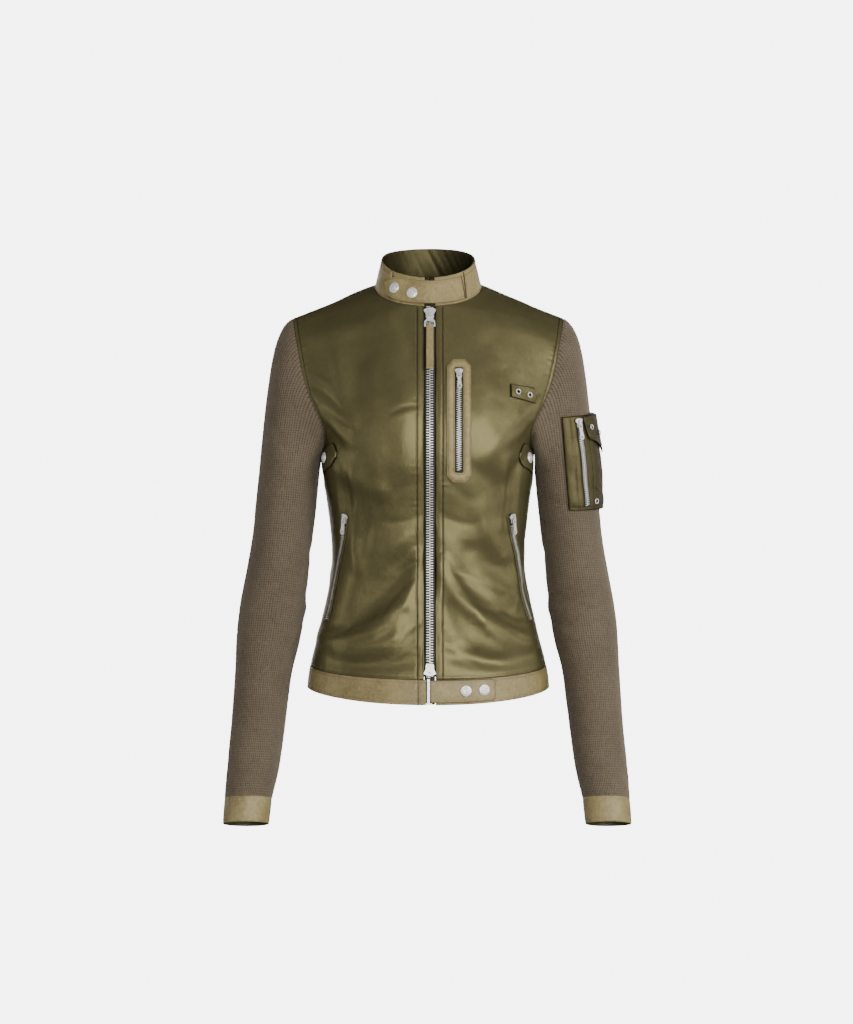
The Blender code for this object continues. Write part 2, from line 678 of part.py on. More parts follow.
def make_collar_strap():
    """The strap across the front of the collar, with its two snaps."""
    tree = surface(collar_grid())
    places = []
    for f in (0.0, 0.5, 1.0):
        places.append([on_collar(angle, low + (high - low) * f) for angle, low, high in STRAP])
    near, out = settled(tree, places, LIFT)
    strap = near + out * LEATHER
    slab("collar_strap", strap, near, LEATHER_KHAKI)
    tree = surface(strap)
    for i, (angle, f) in enumerate(STRAP_SNAPS, 1):
        point, normal = on_collar(angle, f)
        snap(f"collar_snap_{i}", *seat(tree, point + normal * 20, point, SNAP[3][0]))


def make_collar():
    """The stand collar and the satin inside it."""
    cloth("collar_band", [collar_grid()], LEATHER, LEATHER_KHAKI)
    lining = collar_grid(inset=LEATHER + SEAM, low=0.06, high=0.96)
    cloth("collar_lining", [lining], 1.0, SATIN_DARK)


def band_point(u, quarter, f):
    """A point of the hem band: u from the centre to the side seam, f from its seam to its edge."""
    front = quarter.startswith("front")
    edge_x = front_edge_x(quarter[6:]) if front else 0.0
    y, z = BAND_FRONT if front else BAND_BACK
    _, reach_in, reach_out, _, _, turn, _ = read(FRONT_ROWS if front else BACK_ROWS, 0.0)
    top = row_curve(start_path(0.0, front, edge_x), edge_path(0.0, front), reach_in, reach_out, 0, 0, turn, 0)
    side = np.array([BAND_SIDE[0], 0.0, BAND_SIDE[1]])
    low = row_curve(np.array([edge_x, y, z]), side, reach_in, reach_out, 0, 0, turn, 0)
    point = bezier(top, u) * (1 - f) + bezier(low, u) * f
    if quarter.endswith("right"):
        point[0] *= -1
    return point


def band_grid(rows=4):
    """Outer side of the hem band, from its end on the wearer's left round to the other end."""
    steps = column_places(FRONT_COLUMNS)[:-1]
    back_steps = column_places(BACK_COLUMNS)[:-1]
    columns = [(u, "front_left") for u in steps] + [(1.0, "back_left")]
    columns += [(u, "back_left") for u in back_steps[:0:-1]] + [(u, "back_right") for u in back_steps]
    columns += [(1.0, "back_right")] + [(u, "front_right") for u in steps[::-1]]
    grid = np.array([
        [band_point(u, quarter, f) for u, quarter in columns] for f in np.linspace(1, 0, rows)
    ])
    grid[-1, :, 2] -= SEAM
    return grid + grid_normals(grid) * BAND_PROUD


def make_hem():
    """The hem band, and the tab that overlaps it in front."""
    grid = band_grid()
    cloth("hem_band", [grid], LEATHER, LEATHER_KHAKI)
    tree = surface(grid)
    down = HEM_TAB_EDGES

    def on_band(x, f):
        """A place on the band in front; beside the zip the band's own line runs on."""
        low, high = 0.0, 1.0
        for _ in range(20):
            u = (low + high) / 2
            if band_point(u, "front_left", f)[0] < x:
                low = u
            else:
                high = u
        z = band_point(low, "front_left", f)[2]
        return meet(tree, (max(x, 10.0), -400, z), (max(x, 10.0), 0, z))

    places = []
    for f in np.linspace(down[1], down[0], 4):
        row = []
        for x in np.linspace(*HEM_TAB, 9):
            corner = 0.16 * max(0.0, 1 - (HEM_TAB[1] - x) / 8) * (1 if f < 0.3 else 0)
            point, normal = on_band(x, f + corner)
            point[0] = x
            row.append((point, normal))
        places.append(row)
    near, out = settled(tree, places, LIFT)
    slab("hem_tab", near + out * LEATHER, near, LEATHER_KHAKI)
    tree = surface(near + out * LEATHER)
    for i, (x, f) in enumerate(HEM_SNAPS, 1):
        point, _ = on_band(x, f)
        snap(f"hem_snap_{i}", *seat(tree, point - (0, 40, 0), point, SNAP[3][0]))


# ---------------------------------------------------------------- hardware
def snap(name, point, normal, lift=LIFT):
    """A domed snap cap."""
    mesh = bpy.data.meshes.new(name)
    verts = [(r * MM, 0, h * MM) for r, h in SNAP]
    mesh.from_pydata(verts, [(i, i + 1) for i in range(len(verts) - 1)], [])
    obj = placed(name, mesh, stand(point, normal, (0, 0, 1), lift), NICKEL)
    screw = obj.modifiers.new("turn", "SCREW")
    screw.steps = screw.render_steps = 12
    screw.use_merge_vertices = True
    screw.merge_threshold = 0.00001
    screw.use_smooth_shade = True
    return obj


def eyelet(name, point, normal, lift=LIFT):
    """A metal eyelet's ring."""
    mesh = bpy.data.meshes.new(name)
    bm = bmesh.new()
    big, small = EYELET
    around, section = 12, 5
    rings = []
    for i in range(around):
        a = 2 * math.pi * i / around
        ring = []
        for k in range(section):
            b = 2 * math.pi * k / section
            r = big + small * math.cos(b)
            ring.append(bm.verts.new((r * math.cos(a) * MM, r * math.sin(a) * MM, small * math.sin(b) * MM)))
        rings.append(ring)
    for i in range(around):
        for k in range(section):
            m, n = (i + 1) % around, (k + 1) % section
            bm.faces.new((rings[i][k], rings[m][k], rings[m][n], rings[i][n]))
    bm.to_mesh(mesh)
    bm.free()
    return placed(name, mesh, stand(point, normal, (0, 0, 1), lift + small), NICKEL)


def slider(name, matrix, size):
    """A zip slider: a plate with a bridge, about its pull's pin."""
    width, length = size
    half = [(x * width, y * length) for x, y in SLIDER_OUTLINE]
    plate = outline_mesh([half + [(-x, y) for x, y in reversed(half)]], PLATE)
    body = placed(name, plate, matrix @ Matrix.Translation((0, 0, -(PIVOT_UP + PLATE / 2) * MM)), NICKEL)
    (far, shoulder), (near, top), (inside, clear), (wide, _) = BRIDGE
    foot = -0.5
    arch = [(-far, foot), (-far, shoulder), (-near, top), (near, top), (far, shoulder), (far, foot),
            (inside, foot), (inside, clear), (-inside, clear), (-inside, foot)]
    mesh = outline_mesh([[(y, z - PIVOT_UP) for y, z in arch]], 2 * wide)
    turn = Matrix(((0, 0, 1), (1, 0, 0), (0, 1, 0))).to_4x4()
    bridge = placed(f"{name}_bridge", mesh, matrix @ turn, NICKEL)
    JACKET.objects.unlink(bridge)
    CUTTERS.objects.link(bridge)
    bridge.hide_render = True
    bridge.display_type = "WIRE"
    join = body.modifiers.new("bridge", "BOOLEAN")
    join.operation = "UNION"
    join.solver = "EXACT"
    join.object = bridge
    return body


def pull_loops(outline, hole):
    """A pull tab's outline from half of it, its eye round the bridge, and its lower hole."""
    eye = [(-1.4, -0.6), (1.4, -0.6), (1.4, -5.3), (-1.4, -5.3)]
    return [outline + [(-x, y) for x, y in reversed(outline)], eye, hole]


def pocket_pull(name, matrix):
    """A pocket zip's pull tab, which hangs from the slider's bridge."""
    outline = [(1.6, 1.1), (2.7, 0.2), (2.7, -6.2), (2.1, -9.0), (2.5, -14.5), (3.1, -17.6), (2.5, -20.4), (0.9, -21.6)]
    return placed(name, outline_mesh(pull_loops(outline, circle(0, -18.0, 1.6, 8)), PULL_THICK), matrix, NICKEL)


def main_pull(matrix):
    """The main zip's metal pull and the leather strip that is folded through it."""
    outline = [(2.0, 1.1), (2.9, 0.2), (2.9, -6.4), (3.6, -9.0), (6.8, -12.2), (7.2, -20.0)]
    window = [(-5.2, -18.6), (5.2, -18.6), (5.2, -14.4), (3.2, -12.0), (-3.2, -12.0), (-5.2, -14.4)]
    placed("main_pull", outline_mesh(pull_loops(outline, window), PULL_THICK), matrix, NICKEL)
    bar = [(-20.35, -0.9), (-20.35, 0.9), (-18.25, 0.9), (-18.25, -0.9)]
    strap = [(-79.5, -1.2), (-79.5, 1.2), (-21.5, 1.2), (-20.6, 2.1), (-17.8, 2.1), (-17.0, 1.3),
             (-17.0, -1.3), (-17.8, -2.1), (-20.6, -2.1), (-21.5, -1.2)]
    turn = Matrix(((0, 0, 1), (1, 0, 0), (0, 1, 0))).to_4x4()
    placed("main_pull_strip", outline_mesh([strap, bar], 9.2), matrix @ turn, LEATHER_KHAKI)


def zip_slab(name, line, half_tape, half_chain, chain_height, tree=None, bare=0):
    """A closed zip: tape with a raised chain; line gives its points, across and out directions."""
    across = (-half_tape, -half_chain - 0.3, -half_chain, half_chain, half_chain + 0.3, half_tape)
    heights = (0.8, 0.8, chain_height, chain_height, 0.8, 0.8)
    places = [[(point + side * x, out) for x in across] for point, side, out in line]
    if tree:
        inner, out = settled(tree, places, LIFT)
    else:
        inner, out = np.array([[place[0] for place in row] for row in places]), np.array([
            [place[1] for place in row] for row in places
        ])
    rise = np.array([[h if i >= bare else 0.8 for h in heights] for i in range(len(line))])
    return slab(name, inner + out * rise[..., None], inner, TAPE_DARK)


def make_main_zip():
    """The two-way main zip, its sliders, pull and pin."""
    tape, chain, height = MAIN_ZIP
    bottom, top = BAND_FRONT[1] + 1.0, NECK_FRONT[1] - 1.0
    places = np.concatenate([[bottom, MAIN_CHAIN[0] - 1.0], np.linspace(MAIN_CHAIN[0], top, 24)])
    line = []
    for z in places:
        y = read(CENTRE_FRONT, z)[0]
        slope = (read(CENTRE_FRONT, z + 1)[0] - read(CENTRE_FRONT, z - 1)[0]) / 2
        out = np.array([0.0, -1.0, slope]) / math.hypot(1, slope)
        line.append((np.array([ZIP_X, y, z]) - out * 0.9, np.array([1.0, 0, 0]), out))
    zip_slab("main_zip", line, tape, chain, height, bare=2)

    def at(z, lift):
        y = read(CENTRE_FRONT, z)[0]
        slope = (read(CENTRE_FRONT, z + 4)[0] - read(CENTRE_FRONT, z - 6)[0]) / 10
        return stand((ZIP_X, y, z), (0, -1, slope), (0, 0, 1), lift)

    lift = height - 0.9 + 0.6 + PLATE + PIVOT_UP
    top_place = at(MAIN_CHAIN[1] - MAIN_SLIDER[1] / 2 + 0.5, lift)
    slider("main_slider_top", top_place, MAIN_SLIDER)
    main_pull(top_place)
    low_place = at(MAIN_CHAIN[0] + MAIN_SLIDER[1] / 2 + 3.0, lift)
    slider("main_slider_bottom", low_place @ Matrix.Rotation(math.pi, 4, "Z"), MAIN_SLIDER)
    middle, width, low = PIN
    foot, tall = PIN_FOOT
    high = MAIN_CHAIN[0] - 1.5
    half = [(width / 2, high), (width / 2, low + tall), (foot / 2, low + tall), (foot / 2, low)]
    pin = [(x + middle, y - low) for x, y in half + [(-x, y) for x, y in reversed(half)]]
    place = at(low, 1.5)
    placed("main_pin", outline_mesh([pin], 2.0), place @ Matrix.Translation((-ZIP_X * MM, 0, 0)), NICKEL)


def make_chest_pocket(tree):
    """The chest pocket: leather surround, zip, slider and pull."""
    half, top, bottom, cut_x, cut_z = CHEST_OUTER
    slit, slit_top, slit_bottom = CHEST_OPENING
    side_steps = np.linspace(0, 1, 9)

    def loop(w, high, low, dx, dz):
        right = [(w, low + dz + (high - low - 2 * dz) * f) for f in side_steps]
        left = [(-x, z) for x, z in reversed(right)]
        return right + [(w - dx, high), (-w + dx, high)] + left + [(-w + dx, low), (w - dx, low)]

    loops = [loop(slit, slit_top, slit_bottom, slit * 0.4, 0.01), loop(half, top, bottom, cut_x, cut_z)]
    places = [
        [meet(tree, (CHEST_MIDDLE_X + x, -400, z), (CHEST_MIDDLE_X + x, 0, z)) for x, z in ring]
        for ring in loops
    ]
    near, out = settled(tree, places, LIFT, closed=True)
    cloth("chest_surround", [(near + out * SURROUND)[::-1]], SURROUND, LEATHER_KHAKI, closed=True)

    line = []
    for z in np.linspace(slit_bottom + 0.4, slit_top - 0.4, 11):
        point, normal = meet(tree, (CHEST_MIDDLE_X, -400, z), (CHEST_MIDDLE_X, 0, z))
        across = np.cross([0, 0, 1], normal)
        line.append((point, across / np.linalg.norm(across), normal))
    zip_slab("chest_zip", line, *POCKET_ZIP, tree)
    z = slit_top - POCKET_SLIDER[1] / 2 - 1.5
    point, normal = meet(tree, (CHEST_MIDDLE_X, -400, z), (CHEST_MIDDLE_X, 0, z))
    place = stand(point, normal, (0, 0, 1), SLIDER_LIFT)
    slider("chest_slider", place, POCKET_SLIDER)
    pocket_pull("chest_pull", place)


def make_eyelet_tab(tree):
    """The small tab on the left chest, with its two eyelets."""
    a, b, c, d = (np.array(p) for p in EYELET_TAB)
    places = []
    for f in np.linspace(0, 1, 3):
        row = [(b + (c - b) * g) * (1 - f) + (a + (d - a) * g) * f for g in np.linspace(0, 1, 5)]
        places.append([meet(tree, (x, -400, z), (x, 0, z)) for x, z in row])
    near, out = settled(tree, places, LIFT)
    slab("eyelet_tab", near + out * TAB, near, SATIN_OLIVE)
    tree = surface(near + out * TAB)
    for i, (x, z) in enumerate(TAB_EYELETS, 1):
        eyelet(f"tab_eyelet_{i}", *seat(tree, (x, -400, z), (x, 0, z), sum(EYELET)))


def round_body(tree, angle, z, sign):
    """A place on the body at an angle from the front and a height."""
    a = math.radians(angle)
    start = (sign * 400 * math.sin(a), -400 * math.cos(a), z)
    return meet(tree, start, (0, 0, z))


def make_sides(tree):
    """The side pockets' zips and the adjuster tabs."""
    for side, sign in (("right", -1), ("left", 1)):
        line = []
        for z in np.linspace(SIDE_ZIP[0][0], SIDE_ZIP[-1][0], 13):
            point, normal = round_body(tree, read(SIDE_ZIP, z)[0], z, sign)
            line.append([point, None, normal])
        for i, row in enumerate(line):
            along = line[min(i + 1, len(line) - 1)][0] - line[max(i - 1, 0)][0]
            across = np.cross(along, row[2])
            row[1] = across / np.linalg.norm(across)
        zip_slab(f"side_zip_{side}", line, *POCKET_ZIP, tree)
        (point, _, normal), (below, _, _) = line[-1], line[-2]
        up = (point - below) / np.linalg.norm(point - below)
        place = stand(point - up * (POCKET_SLIDER[1] / 2), normal, up, SLIDER_LIFT)
        slider(f"side_slider_{side}", place, POCKET_SLIDER)
        pocket_pull(f"side_pull_{side}", place)

        places = [
            [round_body(tree, angle, low + (high - low) * f, sign) for angle, low, high in SIDE_TAB][::sign]
            for f in (0.0, 0.5, 1.0)
        ]
        near, out = settled(tree, places, LIFT)
        slab(f"side_tab_{side}", near + out * TAB, near, SATIN_OLIVE)
        angle, z = SIDE_SNAP
        point, normal = round_body(tree, angle, z, sign)
        snap(f"side_snap_{side}", *seat(surface(near + out * TAB), point + normal * 20, point, SNAP[3][0]))


# ---------------------------------------------------------------- sleeve pocket
def pocket_place(tree, s, t):
    """A place on the left sleeve: s from the pocket's front edge to its back one, t up it."""
    angle = math.radians(POCKET_ANGLES[0] + (POCKET_ANGLES[1] - POCKET_ANGLES[0]) * s)
    low, high = POCKET_HEIGHTS
    z = low + (high - low) * t + POCKET_RISE * t * math.sin(math.pi * min(s, 1.0) * 0.6)
    x, y = read(ARM_AXIS, z)
    far = (x + 200 * math.cos(angle), y - 200 * math.sin(angle), z)
    return meet(tree, far, (x, y, z))


def pocket_height(s, t):
    """How far the pocket stands out from the sleeve."""
    edge, middle = POCKET_WALL
    swell = math.sin(math.pi * min(max(s, 0), 1)) ** 0.6 * (0.45 + 0.55 * math.sin(math.pi * min(max(t, 0), 1)))
    return edge + middle * swell


def make_sleeve_pocket():
    """The pocket on the left sleeve with its zip, flap and eyelets."""
    grid = sleeve_grid("left")
    tree = surface(np.concatenate([grid, grid[:, :1]], axis=1))
    across, up = np.linspace(0, 1, 11), np.linspace(0, 1, 8)
    near, out = settled(tree, [[pocket_place(tree, s, t) for s in across] for t in up], LIFT * 1.6)
    rise = np.array([[pocket_height(s, t) for s in across] for t in up])
    pocket = near + out * rise[..., None]
    slab("sleeve_pocket", pocket, near, SATIN_OLIVE)
    top = surface(pocket)

    def over(s, t):
        """A place on the pocket's outer side."""
        point, normal = pocket_place(tree, s, t)
        far = point + normal * 30
        point, _ = meet(top, far, point) if 0 < s < 1 and 0 < t < 1 else (near_edge(s, t), normal)
        return point, normal

    def near_edge(s, t):
        """A place just past the pocket's edge, at the edge's own height."""
        a, b = min(max(s, 0.01), 0.99), min(max(t, 0.01), 0.99)
        point, normal = pocket_place(tree, a, b)
        edge, _ = meet(top, point + normal * 30, point)
        return edge + pocket_place(tree, s, t)[0] - point

    (s0, t0), (s1, t1) = POCKET_ZIP_AT
    line = []
    for f in np.linspace(0, 1, 9):
        s, t = s0 + (s1 - s0) * f, t0 + (t1 - t0) * f
        side = over(s + 0.05, t)[0] - over(s - 0.05, t)[0]
        rise = over(s, t + 0.03)[0] - over(s, t - 0.03)[0]
        out = np.cross(side, rise)
        line.append((over(s, t)[0], side / np.linalg.norm(side), out / np.linalg.norm(out)))
    zip_slab("sleeve_zip", line, *POCKET_ZIP, top)
    point, _, normal = line[-1]
    up_way = (line[-1][0] - line[-2][0]) / np.linalg.norm(line[-1][0] - line[-2][0])
    place = stand(point - up_way * (POCKET_SLIDER[1] / 2), normal, up_way, SLIDER_LIFT)
    slider("sleeve_slider", place, POCKET_SLIDER)
    pocket_pull("sleeve_pull", place)

    places = [
        [over(s, low + (FLAP_TOP - low) * f) for s, low in FLAP] for f in np.linspace(0, 1, 5)
    ]
    near, out = settled(top, places, LIFT)
    flap = near + out * TAB
    slab("sleeve_flap", flap, near, SATIN_OLIVE)
    flap_side = surface(flap)
    for i, (s, t) in enumerate(FLAP_EYELETS, 1):
        point, normal = over(s, t)
        eyelet(f"sleeve_eyelet_{i}", *seat(flap_side, point + normal * 30, point, sum(EYELET)))
    point, normal = over(*POCKET_EYELET)
    eyelet("sleeve_eyelet_3", *seat(top, point + normal * 30, point, sum(EYELET)))


# ---------------------------------------------------------------- build
def clear_scene():
    """Take every object out of the scene."""
    for obj in list(bpy.data.objects):
        bpy.data.objects.remove(obj, do_unlink=True)


def new_collection(name):
    """A collection in the scene."""
    collection = bpy.data.collections.new(name)
    bpy.context.scene.collection.children.link(collection)
    return collection


clear_scene()
JACKET = new_collection("racer_jacket")
CUTTERS = new_collection("cutters")
SATIN_OLIVE = colour_material("olive_satin", (0.115, 0.105, 0.045), 0.35)
SATIN_DARK = colour_material("dark_olive_satin", (0.06, 0.055, 0.025), 0.4)
KNIT_TAUPE = colour_material("taupe_knit", (0.16, 0.13, 0.095), 0.9)
LEATHER_KHAKI = colour_material("khaki_leather", (0.33, 0.27, 0.15), 0.5)
NICKEL = colour_material("nickel", (0.72, 0.7, 0.68), 0.25, 1.0)
TAPE_DARK = colour_material("dark_tape", (0.03, 0.028, 0.02), 0.8)

make_body()
make_sleeves()
make_collar()
make_collar_strap()
make_hem()
make_main_zip()
left_front, right_front = front_grid("left"), front_grid("right")
make_chest_pocket(surface(left_front))
make_eyelet_tab(surface(left_front))
make_sides(surface(left_front, right_front, *back_grids()))
make_sleeve_pocket()
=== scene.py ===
"""Looks of the knit racer jacket: satin, waffle knit, leather, metal zips and stitching.

Tables are in millimetres and follow the sizes of the part; the model is in metres. The jacket faces
-Y, +Z is up and +X is the wearer's left.
"""

import math

import bmesh
import bpy
import numpy as np
from mathutils import Matrix, Vector, noise
from mathutils.bvhtree import BVHTree


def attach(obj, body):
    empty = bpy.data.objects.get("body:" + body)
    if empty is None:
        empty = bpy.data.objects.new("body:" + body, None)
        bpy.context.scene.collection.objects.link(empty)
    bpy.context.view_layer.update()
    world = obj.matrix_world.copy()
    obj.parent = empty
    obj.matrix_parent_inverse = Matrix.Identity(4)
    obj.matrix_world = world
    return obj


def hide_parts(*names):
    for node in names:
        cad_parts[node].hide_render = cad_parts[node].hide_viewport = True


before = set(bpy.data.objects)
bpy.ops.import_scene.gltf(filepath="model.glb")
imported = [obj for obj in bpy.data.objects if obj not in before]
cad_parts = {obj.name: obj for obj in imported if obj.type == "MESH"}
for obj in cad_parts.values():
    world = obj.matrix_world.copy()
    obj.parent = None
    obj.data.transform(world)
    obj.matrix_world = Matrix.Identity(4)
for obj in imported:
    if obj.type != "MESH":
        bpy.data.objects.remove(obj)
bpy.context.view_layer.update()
MM = 0.001

# ---------------------------------------------------------------- camera
CAMERA_PLACE, CAMERA_TILT = (-0.0022, -3.4952, -0.0928), 87
# the sensor, and how far the jacket's middle plane is and how tall the view is there (mm)
SENSOR, VIEW_FAR, VIEW_TALL = 36, 3500, 1331.2
camera = bpy.data.objects.new("camera", bpy.data.cameras.new("camera"))
bpy.context.scene.collection.objects.link(camera)
camera.location = CAMERA_PLACE
camera.rotation_euler = (math.radians(CAMERA_TILT), 0, 0)
camera.data.sensor_width = SENSOR
camera.data.lens = SENSOR * VIEW_FAR / VIEW_TALL
camera.data.clip_end = 50
bpy.context.scene.camera = camera

# ---------------------------------------------------------------- sizes (mm)
# walls of each cloth, gap at a seam, gap under a cap, wall of a tab
SATIN, KNIT, LEATHER, SEAM, LIFT, TAB = 1.5, 2.0, 2.2, 0.3, 0.35, 1.6
# gap under what is laid on, how far off rays start, and above how many faces normals stay as built
LAID, FAR, MANY_FACES = 0.5, 400, 60000
ZIP_X, TAPE_HALF = 2.0, 7.0
HEM_SIDE_Z, HEM_FRONT_Z, HEM_BACK_Z = -475.0, -481.0, -474.0
NECK_HALF, NECK_FRONT, NECK_SIDE_Z, NECK_BACK = 69.0, (-60.0, -10.0), 16.0, (62.0, 30.0)
# height, depth
CENTRE_FRONT = (
    (-514, -119), (-481, -118), (-440, -115), (-400, -108), (-340, -99), (-290, -101),
    (-240, -110), (-195, -117), (-150, -115), (-100, -101), (-60, -84), (-10, -60),
)
CENTRE_BACK = (
    (-505, 119), (-474, 116), (-440, 112), (-400, 101), (-340, 86), (-290, 86),
    (-240, 95), (-190, 105), (-140, 110), (-90, 107), (-40, 97), (0, 80), (30, 62),
)
# side seam: height, half width, depth
SIDE = (
    (-504, 157.3, 0), (-475, 153.5, 0), (-458, 149.5, 0), (-437, 143.5, 0), (-416, 139, 1),
    (-395, 134, 2), (-374, 129.5, 3), (-350, 126, 4), (-322, 125.5, 4), (-291, 128, 3),
    (-260, 132, 2), (-229, 135.5, 1), (-197, 137.5, 0),
)
# armhole: angle from the shoulder point round by the front, x, y, z
ARMHOLE = (
    (0, 175, 0, -25), (45, 169.5, -33, -56), (90, 157.5, -49, -111), (135, 135, -56, -166),
    (180, 137.5, 0, -197), (225, 140, 52, -162), (270, 160, 46, -108), (315, 170.5, 31, -55),
)
# rows of the front and the back: start, edge, reach in and out, swell, dip in, turn, dip out
FRONT_ROWS = (
    (0.00, 0.00, 94, 70, 0.00, 0.00, 90, 0.00),
    (0.15, 0.25, 86, 66, 0.00, 0.00, 90, 0.00),
    (0.32, 0.52, 76, 58, -0.02, 0.00, 90, 0.00),
    (0.50, 0.82, 86, 60, -0.08, 0.00, 90, 0.00),
    (0.60, 1.00, 92, 62, -0.12, 0.00, 90, 0.00),
    (0.69, 1.24, 80, 30, -0.12, 0.00, 60, 0.00),
    (0.82, 1.50, 62, 48, -0.06, 0.00, 34, -0.12),
    (1.00, 1.72, 46, 52, 0.00, -0.05, 22, -0.26),
    (1.50, 1.88, 40, 42, 0.06, -0.28, 10, -0.36),
    (2.00, 2.00, 35, 35, 0.00, -0.387, 0, -0.387),
)
BACK_ROWS = (
    (0.00, 0.00, 94, 70, 0.00, 0.00, -90, 0.00),
    (0.15, 0.25, 84, 62, 0.02, 0.00, -90, 0.00),
    (0.30, 0.52, 76, 54, 0.04, 0.00, -90, 0.00),
    (0.45, 0.82, 82, 62, 0.05, 0.00, -90, 0.00),
    (0.55, 1.00, 86, 70, 0.06, 0.00, -90, 0.00),
    (0.65, 1.26, 76, 34, 0.06, 0.00, -56, 0.00),
    (0.80, 1.52, 62, 48, 0.02, -0.02, -32, -0.10),
    (1.00, 1.74, 48, 50, 0.00, -0.10, -20, -0.24),
    (1.50, 1.88, 40, 42, -0.04, -0.28, -10, -0.36),
    (2.00, 2.00, 35, 35, 0.00, -0.387, 0, -0.387),
)
FOLD_FADE = 30.0
# folds: from x, z, by way of x, z, to x, z, half width, height (a trough is below zero)
FRONT_FOLDS = (
    (-150, -128, -127, -147, -104, -166, 8, -2.6), (-142, -146, -119, -165, -96, -184, 8, 1.6),
    (150, -134, 131, -150, 112, -166, 8, -2.6), (140, -150, 122, -166, 104, -182, 8, 1.6),
    (-112, -212, -106, -259, -100, -306, 8, -2.2), (-94, -206, -89, -248, -84, -290, 9, 1.8),
    (114, -212, 109, -256, 104, -300, 8, -2.2), (96, -206, 92, -249, 88, -292, 9, 1.8),
    (-24, -338, -64, -376, -104, -414, 17, -3.8), (-20, -392, -66, -419, -112, -446, 14, 2.6),
    (-36, -300, -66, -319, -96, -338, 15, 2.0), (-16, -444, -56, -455, -96, -466, 10, -1.8),
    (38, -356, 75, -379, 112, -402, 16, -4.0), (18, -346, 55, -396, 92, -446, 13, 2.8),
    (24, -448, 67, -458, 110, -468, 10, -1.8), (34, -300, 65, -315, 96, -330, 15, 2.0),
)
BACK_FOLDS = (
    (-150, -128, -127, -149, -104, -170, 9, -2.4), (150, -128, 127, -149, 104, -170, 9, -2.4),
    (-108, -250, -64, -290, -20, -330, 15, -3.0), (108, -250, 64, -290, 20, -330, 15, -3.0),
    (-104, -300, -57, -334, -10, -368, 14, 2.4), (104, -300, 57, -334, 10, -368, 14, 2.4),
    (-96, -392, -28, -406, 40, -420, 13, -2.6), (100, -420, 40, -434, -20, -448, 12, 2.2),
)
# broad swells and hollows of the same cloth
FRONT_BROAD = (
    (-150, -50, -104, -40, -52, -32, 12, 2.6), (-146, -30, -100, -20, -60, -14, 8, -1.2),
    (148, -46, 110, -38, 60, -30, 12, 1.4), (-28, -36, -22, -70, -24, -96, 9, -1.2),
    (-46, -346, -74, -386, -98, -420, 24, -6.8), (-12, -332, -50, -404, -132, -437, 12, 6.2),
    (-16, -458, -66, -464, -122, -463, 11, -4.3), (-98, -276, -94, -312, -88, -346, 9, 3.5),
    (-30, -420, -60, -442, -96, -452, 9, 2.2), (-16, -292, -44, -322, -62, -344, 13, 2.7),
    (16, -336, 58, -396, 128, -439, 12, 6.2), (62, -324, 90, -344, 114, -370, 20, -7.6),
    (36, -452, 80, -459, 126, -458, 11, -4.3), (117, -326, 118, -360, 112, -394, 8, 3.5),
    (14, -300, 34, -322, 50, -330, 11, 2.4), (20, -392, 34, -424, 60, -448, 10, -3.5),
    (136, -138, 108, -164, 68, -206, 13, 4.1), (140, -176, 120, -206, 104, -236, 11, -3.5),
    (-150, -122, -122, -146, -98, -160, 8, 3.2), (-138, -168, -116, -190, -92, -204, 12, -3.2),
    (-130, -206, -98, -228, -62, -244, 12, 3.2), (-88, -78, -92, -112, -80, -146, 15, -3.0),
    (-124, -60, -112, -86, -104, -112, 11, 2.4), (-46, -96, -28, -150, -22, -214, 22, 3.2),
    (80, -60, 96, -90, 92, -126, 15, -2.7), (62, -214, 84, -240, 92, -276, 12, -3.0),
    (66, -264, 76, -300, 96, -330, 10, 3.0), (-66, -262, -78, -292, -84, -322, 10, -3.0),
)
BACK_BROAD = (
    (-120, -240, -70, -300, -10, -346, 14, 4.9), (122, -236, 70, -296, 12, -352, 14, 4.6),
    (-100, -318, -50, -352, 0, -372, 17, -5.4), (104, -312, 60, -356, 8, -384, 17, -5.1),
    (-116, -360, -50, -404, 40, -424, 13, 4.6), (118, -384, 70, -420, 10, -440, 12, 3.8),
    (-100, -446, -30, -456, 50, -458, 11, -3.8), (-80, -90, -84, -140, -74, -200, 24, 3.2),
    (80, -88, 86, -140, 74, -204, 24, 3.0), (0, -60, 2, -130, 0, -210, 18, -2.7),
)
